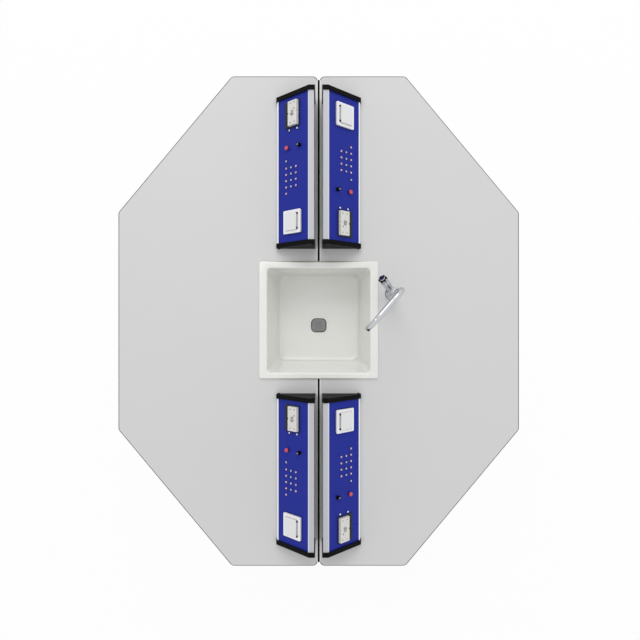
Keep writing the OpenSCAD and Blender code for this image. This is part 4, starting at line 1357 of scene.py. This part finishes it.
    def add_fittings(self, piece: Piece) -> None:
        """Turns the jacks and lamps into a piece.

        Args:
            piece: The piece that takes them, drawn in the world's frame.
        """
        to_mm = Matrix.Scale(1 / MM, 4) @ self.frame @ Matrix.Scale(MM, 4)
        wide, core, bore, lens = self.collar_r, self.contact_r, self.bore_r, self.lens_r
        dome = [(0, 0), (lens, 0), (lens, 1.4), (lens - 0.7, 2.2), (lens - 2.0, 2.55), (0, 2.6)]
        sleeve = [
            (bore, -17), (core + 1.2, -17), (core + 1.2, -0.1), (core, 0), (core, 2.2), (core - 0.35, 2.6),
            (bore + 0.25, 2.6), (bore, 2.3), (bore, -17),
        ]
        for s, y, kind in self._fittings():
            at = to_mm @ Matrix.Translation((s, y, self.panel_z))
            if kind is Jack.LAMP:
                piece.add(washer((lens, wide, self.collar_h, 0.4), 0), COLLAR_NAVY, at)
                piece.add(turned(dome), OPAL, at)
            else:
                piece.add(washer((core, wide, self.collar_h, 0.5), 0), kind.value, at)
                piece.add(turned(sleeve), NICKEL, at)
                piece.add(turned([(0, -15), (bore, -15), (bore, -8), (0, -8)], 16), NYLON, at)


@dataclass
class Consoles:
    """The four consoles, and the small pieces that share a node across them."""

    joints: dict[str, dict]

    def build(self) -> None:
        """Builds the four consoles."""
        dress("console_end_caps", NYLON, edge=0.9, steps=3)
        dress("console_collars", NYLON)
        dress("console_supplies", FRAME_COAT, edge=1.0)
        dress("cable_glands", PP_GREY, edge=0.5)
        dress("cap_screws", BLACK_OXIDE, edge=0.4)
        jacks = Piece("console_fittings", "table", "jack_plastic")
        for name in CORNERS:
            console = Console(name, self.joints)
            console.build()
            console.add_fittings(jacks)
        jacks.finish("console_jacks")


@dataclass
class Underframe:
    """The welded frame, its four legs and their levelling feet."""

    leg_w: float = 60.0
    rail_w: float = 30.0
    rail_h: float = 50.0
    seam_rail_w: float = 60.0
    bead: float = 2.2
    sole_h: float = 3.0

    def build(self) -> None:
        """Dresses the frame and lays a bead of weld round each rail's end."""
        dress("top_frame", FRAME_COAT, edge=1.6, steps=3)
        dress("legs", FRAME_COAT, edge=1.8, steps=3)
        dress("leg_inserts", NYLON, edge=0.8)
        for name in CORNERS:
            dress(f"foot_{name}", ZINC, RUBBER, edge=0.8, choose=self._sole)
        leg_x, leg_y, _leg_z = ((low + high) / 2 for low, high in zip(*box("foot_ne")))
        z = box("top_frame")[1].z - self.rail_h / 2
        cross = box("cabinet_panels")[1].y + self.rail_w / 2
        beads = Piece("frame_welds", "table", "frame_coat")
        half_leg, half_rail = self.leg_w / 2, self.rail_w / 2
        for sx in (-1, 1):
            for sy in (-1, 1):
                self._bead(beads, (sx * leg_x, sy * (leg_y - half_leg), z), self.rail_w)
                self._bead(beads, (sx * (leg_x - half_leg), sy * leg_y, z), self.rail_w, along_x=True)
                self._bead(beads, (sx * (leg_x - half_rail), sy * cross, z), self.rail_w, along_x=True)
        for sy in (-1, 1):
            self._bead(beads, (0, sy * (leg_y - half_rail), z), self.seam_rail_w)
            self._bead(beads, (0, sy * (cross + half_rail), z), self.seam_rail_w)
        beads.finish(sharp=60.0)

    def _sole(self, centre: Vector, normal: Vector) -> int:
        """Tells the foot's rubber sole from its steel."""
        return int(normal.z < -0.9 and centre.z < self.sole_h * MM)

    def _bead(self, beads: Piece, centre: Sequence[float], width: float, along_x: bool = False) -> None:
        """Lays the bead round one rail's end.

        Args:
            beads: The piece that takes it.
            centre: Middle of the rail's end.
            width: The rail's width.
            along_x: Whether the rail runs along X, and not along Y.
        """
        high, size = self.rail_h, self.bead
        profile = ((-0.6, -size), (0.8, -size * 0.8), (1.6 * size, 0), (0.8, size * 0.8), (-0.6, size))
        levels = [
            Ring(width + grow, z, length=high + grow - 0.4, corner=2.5, steps=3, cuts=4)
            for grow, z in profile
        ]
        upright = turn(90, "Z") @ turn(90, "X") if along_x else turn(90, "X")
        beads.add(lofted(levels), FRAME_COAT, Matrix.Translation(centre) @ upright)


@dataclass
class Cabinet:
    """The hung sink cabinet, its door, hinges and pull. Its sizes are in metres."""

    hinge_side: float = -0.2601
    front_depth: float = 0.001

    def build(self) -> None:
        """Dresses the boards, the door with its leaves, the hinges and the pull."""
        self.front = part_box("cabinet_panels")[0].x + self.front_depth
        dress("cabinet_panels", MELAMINE, EDGING, edge=0.7, choose=self._strip)
        dress("cabinet_door", MELAMINE, EDGING, SATIN_STEEL, edge=0.8, choose=self._door)
        dress("cabinet_hinges", SATIN_STEEL, edge=0.5)
        dress("door_handle", SATIN_STEEL, edge=1.2, steps=3)

    def _strip(self, centre: Vector, normal: Vector) -> int:
        """Tells the boards' edges: their undersides and their front edges."""
        return int(normal.z < -0.9 or (normal.x < -0.9 and centre.x < self.front))

    def _door(self, centre: Vector, normal: Vector) -> int:
        """Tells the door's leaves and its four edges from its faces."""
        board = 0 if abs(normal.x) > 0.5 else 1
        return 2 if centre.y < self.hinge_side else board


@dataclass
class Waste:
    """The sink's outlet, its bottle trap and the standing pipe."""

    ribs: int = 14
    nut_h: float = 20.0
    nut_down: float = 1.0
    neck_r: float = 30.45

    def build(self) -> None:
        """Dresses the fittings and adds the ribbed nut on the trap's neck."""
        dress("waste_outlet", PP_GREY, edge=0.7)
        dress("bottle_trap", PP_WHITE, edge=1.4, steps=3)
        dress("waste_pipe", PP_WHITE, edge=0.8)
        low, high = box("waste_outlet")
        z = box("bottle_trap")[1].z - self.nut_h - self.nut_down
        levels = [
            Ring(
                2 * (self.neck_r + wall), z + up, y=(low.y + high.y) / 2, steps=14, lobes=self.ribs,
                lobe_depth=deep,
            )
            for wall, up, deep in (
                (0, 0, 0), (5.0, 0, 2.4), (6.0, 1.5, 2.4), (5.4, self.nut_h - 2, 2.4), (4.0, self.nut_h, 0.8),
                (0, self.nut_h, 0),
            )
        ]
        Piece("trap_nut", "table", "drain_plastic").add(lofted(levels), PP_GREY).finish()


# Studio


@dataclass
class Studio:
    """The camera, the lamps, the pale floor and the white surroundings.

    The camera hangs straight over the table, a little off its middle. Sizes are in metres.
    """

    camera_at: tuple[float, float, float] = (0.005, 0.004, 2.83)
    lens: float = 28.95
    sensor: float = 36.0
    sight: float = 100.0
    aim: tuple[float, float, float] = (0.0, 0.0, 0.9)
    fill: float = 0.77
    key_power: float = 190.0
    key_size: tuple[float, float] = (4.5, 4.5)
    key_at: tuple[float, float, float] = (-0.2, 5.5, 6.7)
    strip_power: float = 11.0
    strip_size: tuple[float, float] = (0.8, 2.0)
    strip_at: tuple[float, float, float] = (-1.15, 1.2, 3.6)
    floor_half: float = 30.0
    floor_z: float = -0.0005
    floor_white: float = 0.92
    floor_colour: str = "fafafa"
    white: tuple[float, float, float, float] = (1.0, 1.0, 1.0, 1.0)

    def build(self) -> None:
        """Sets up everything that isn't the table."""
        camera = new_object("camera", bpy.data.cameras.new("camera"))
        camera.location = self.camera_at
        camera.data.lens = self.lens
        camera.data.sensor_width = self.sensor
        camera.data.clip_end = self.sight
        bpy.context.scene.camera = camera
        self._world()
        self._floor()
        self._lamp("soft_key", self.key_at, self.key_size, self.key_power)
        self._lamp("soft_strip", self.strip_at, self.strip_size, self.strip_power).visible_diffuse = False
        bpy.context.scene.view_settings.view_transform = "Standard"

    @staticmethod
    def _seen(tree: NodeTree) -> NodeSocket:
        """Asks whether a ray is seen.

        Args:
            tree: The node tree that asks.

        Returns:
            A socket that is 1 for rays of the eye, of mirrors and of glass, and 0 for light.
        """
        path = add_node(tree, "ShaderNodeLightPath").outputs
        seen = path["Is Camera Ray"]
        for name in ("Is Glossy Ray", "Is Transmission Ray"):
            seen = add_node(tree, "ShaderNodeMath", {0: seen, 1: path[name]}, operation="MAXIMUM").outputs[0]
        return seen

    def _world(self) -> None:
        """Lights the table evenly from all round, and shows as white."""
        world = bpy.data.worlds.new("surroundings")
        world.use_nodes = True
        tree = world.node_tree
        sky = tree.nodes["Background"]
        sky.inputs["Color"].default_value = self.white
        levels = {"Value": self._seen(tree), "To Min": self.fill, "To Max": 1.0}
        strength = add_node(tree, "ShaderNodeMapRange", levels)
        tree.links.new(strength.outputs[0], sky.inputs["Strength"])
        bpy.context.scene.world = world

    def _floor(self) -> None:
        """Lays the pale floor, which shows nearly white and keeps the table's shadow."""
        bm = bmesh.new()
        bmesh.ops.create_grid(bm, x_segments=1, y_segments=1, size=self.floor_half)
        bmesh.ops.translate(bm, verts=bm.verts, vec=(0, 0, self.floor_z))
        mesh = bpy.data.meshes.new("floor")
        bm.to_mesh(mesh)
        bm.free()
        material = bpy.data.materials.new("pale_floor")
        material.use_nodes = True
        tree = material.node_tree
        tree.nodes.remove(tree.nodes["Principled BSDF"])
        matt = add_node(tree, "ShaderNodeBsdfDiffuse", {"Color": linear(self.floor_colour)}).outputs[0]
        white = add_node(tree, "ShaderNodeEmission", {"Color": self.white, "Strength": 1.0}).outputs[0]
        inputs = {0: self._seen(tree), 1: self.floor_white}
        share = add_node(tree, "ShaderNodeMath", inputs, operation="MULTIPLY").outputs[0]
        mixed = add_node(tree, "ShaderNodeMixShader", {0: share, 1: matt, 2: white})
        tree.links.new(mixed.outputs[0], tree.nodes["Material Output"].inputs["Surface"])
        mesh.materials.append(material)
        new_object("floor", mesh)

    def _lamp(self, name: str, at: Sequence[float], size: Sequence[float], power: float) -> Object:
        """Hangs a soft lamp that looks at the table.

        Args:
            name: The lamp's name.
            at: Its place.
            size: Its width across, and its depth towards and away from the table.
            power: Its power in watts.

        Returns:
            The lamp.
        """
        light = bpy.data.lights.new(name, "AREA")
        light.shape = "RECTANGLE"
        light.energy = power
        light.size, light.size_y = size
        lamp = new_object(name, light)
        lamp.location = at
        lamp.rotation_mode = "QUATERNION"
        lamp.rotation_quaternion = (Vector(self.aim) - Vector(at)).to_track_quat("-Z", "Y")
        return lamp


def main() -> None:
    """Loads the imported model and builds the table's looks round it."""
    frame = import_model()
    joints = {joint["name"]: joint for joint in frame["joints"]}
    parts = (Studio(), Worktop(), Sink(), Tap(joints), Consoles(joints), Underframe(), Cabinet(), Waste())
    for part in parts:
        part.build()


if __name__ == "__main__":
    logging.basicConfig(level=logging.INFO, format="%(name)s %(message)s")
    main()
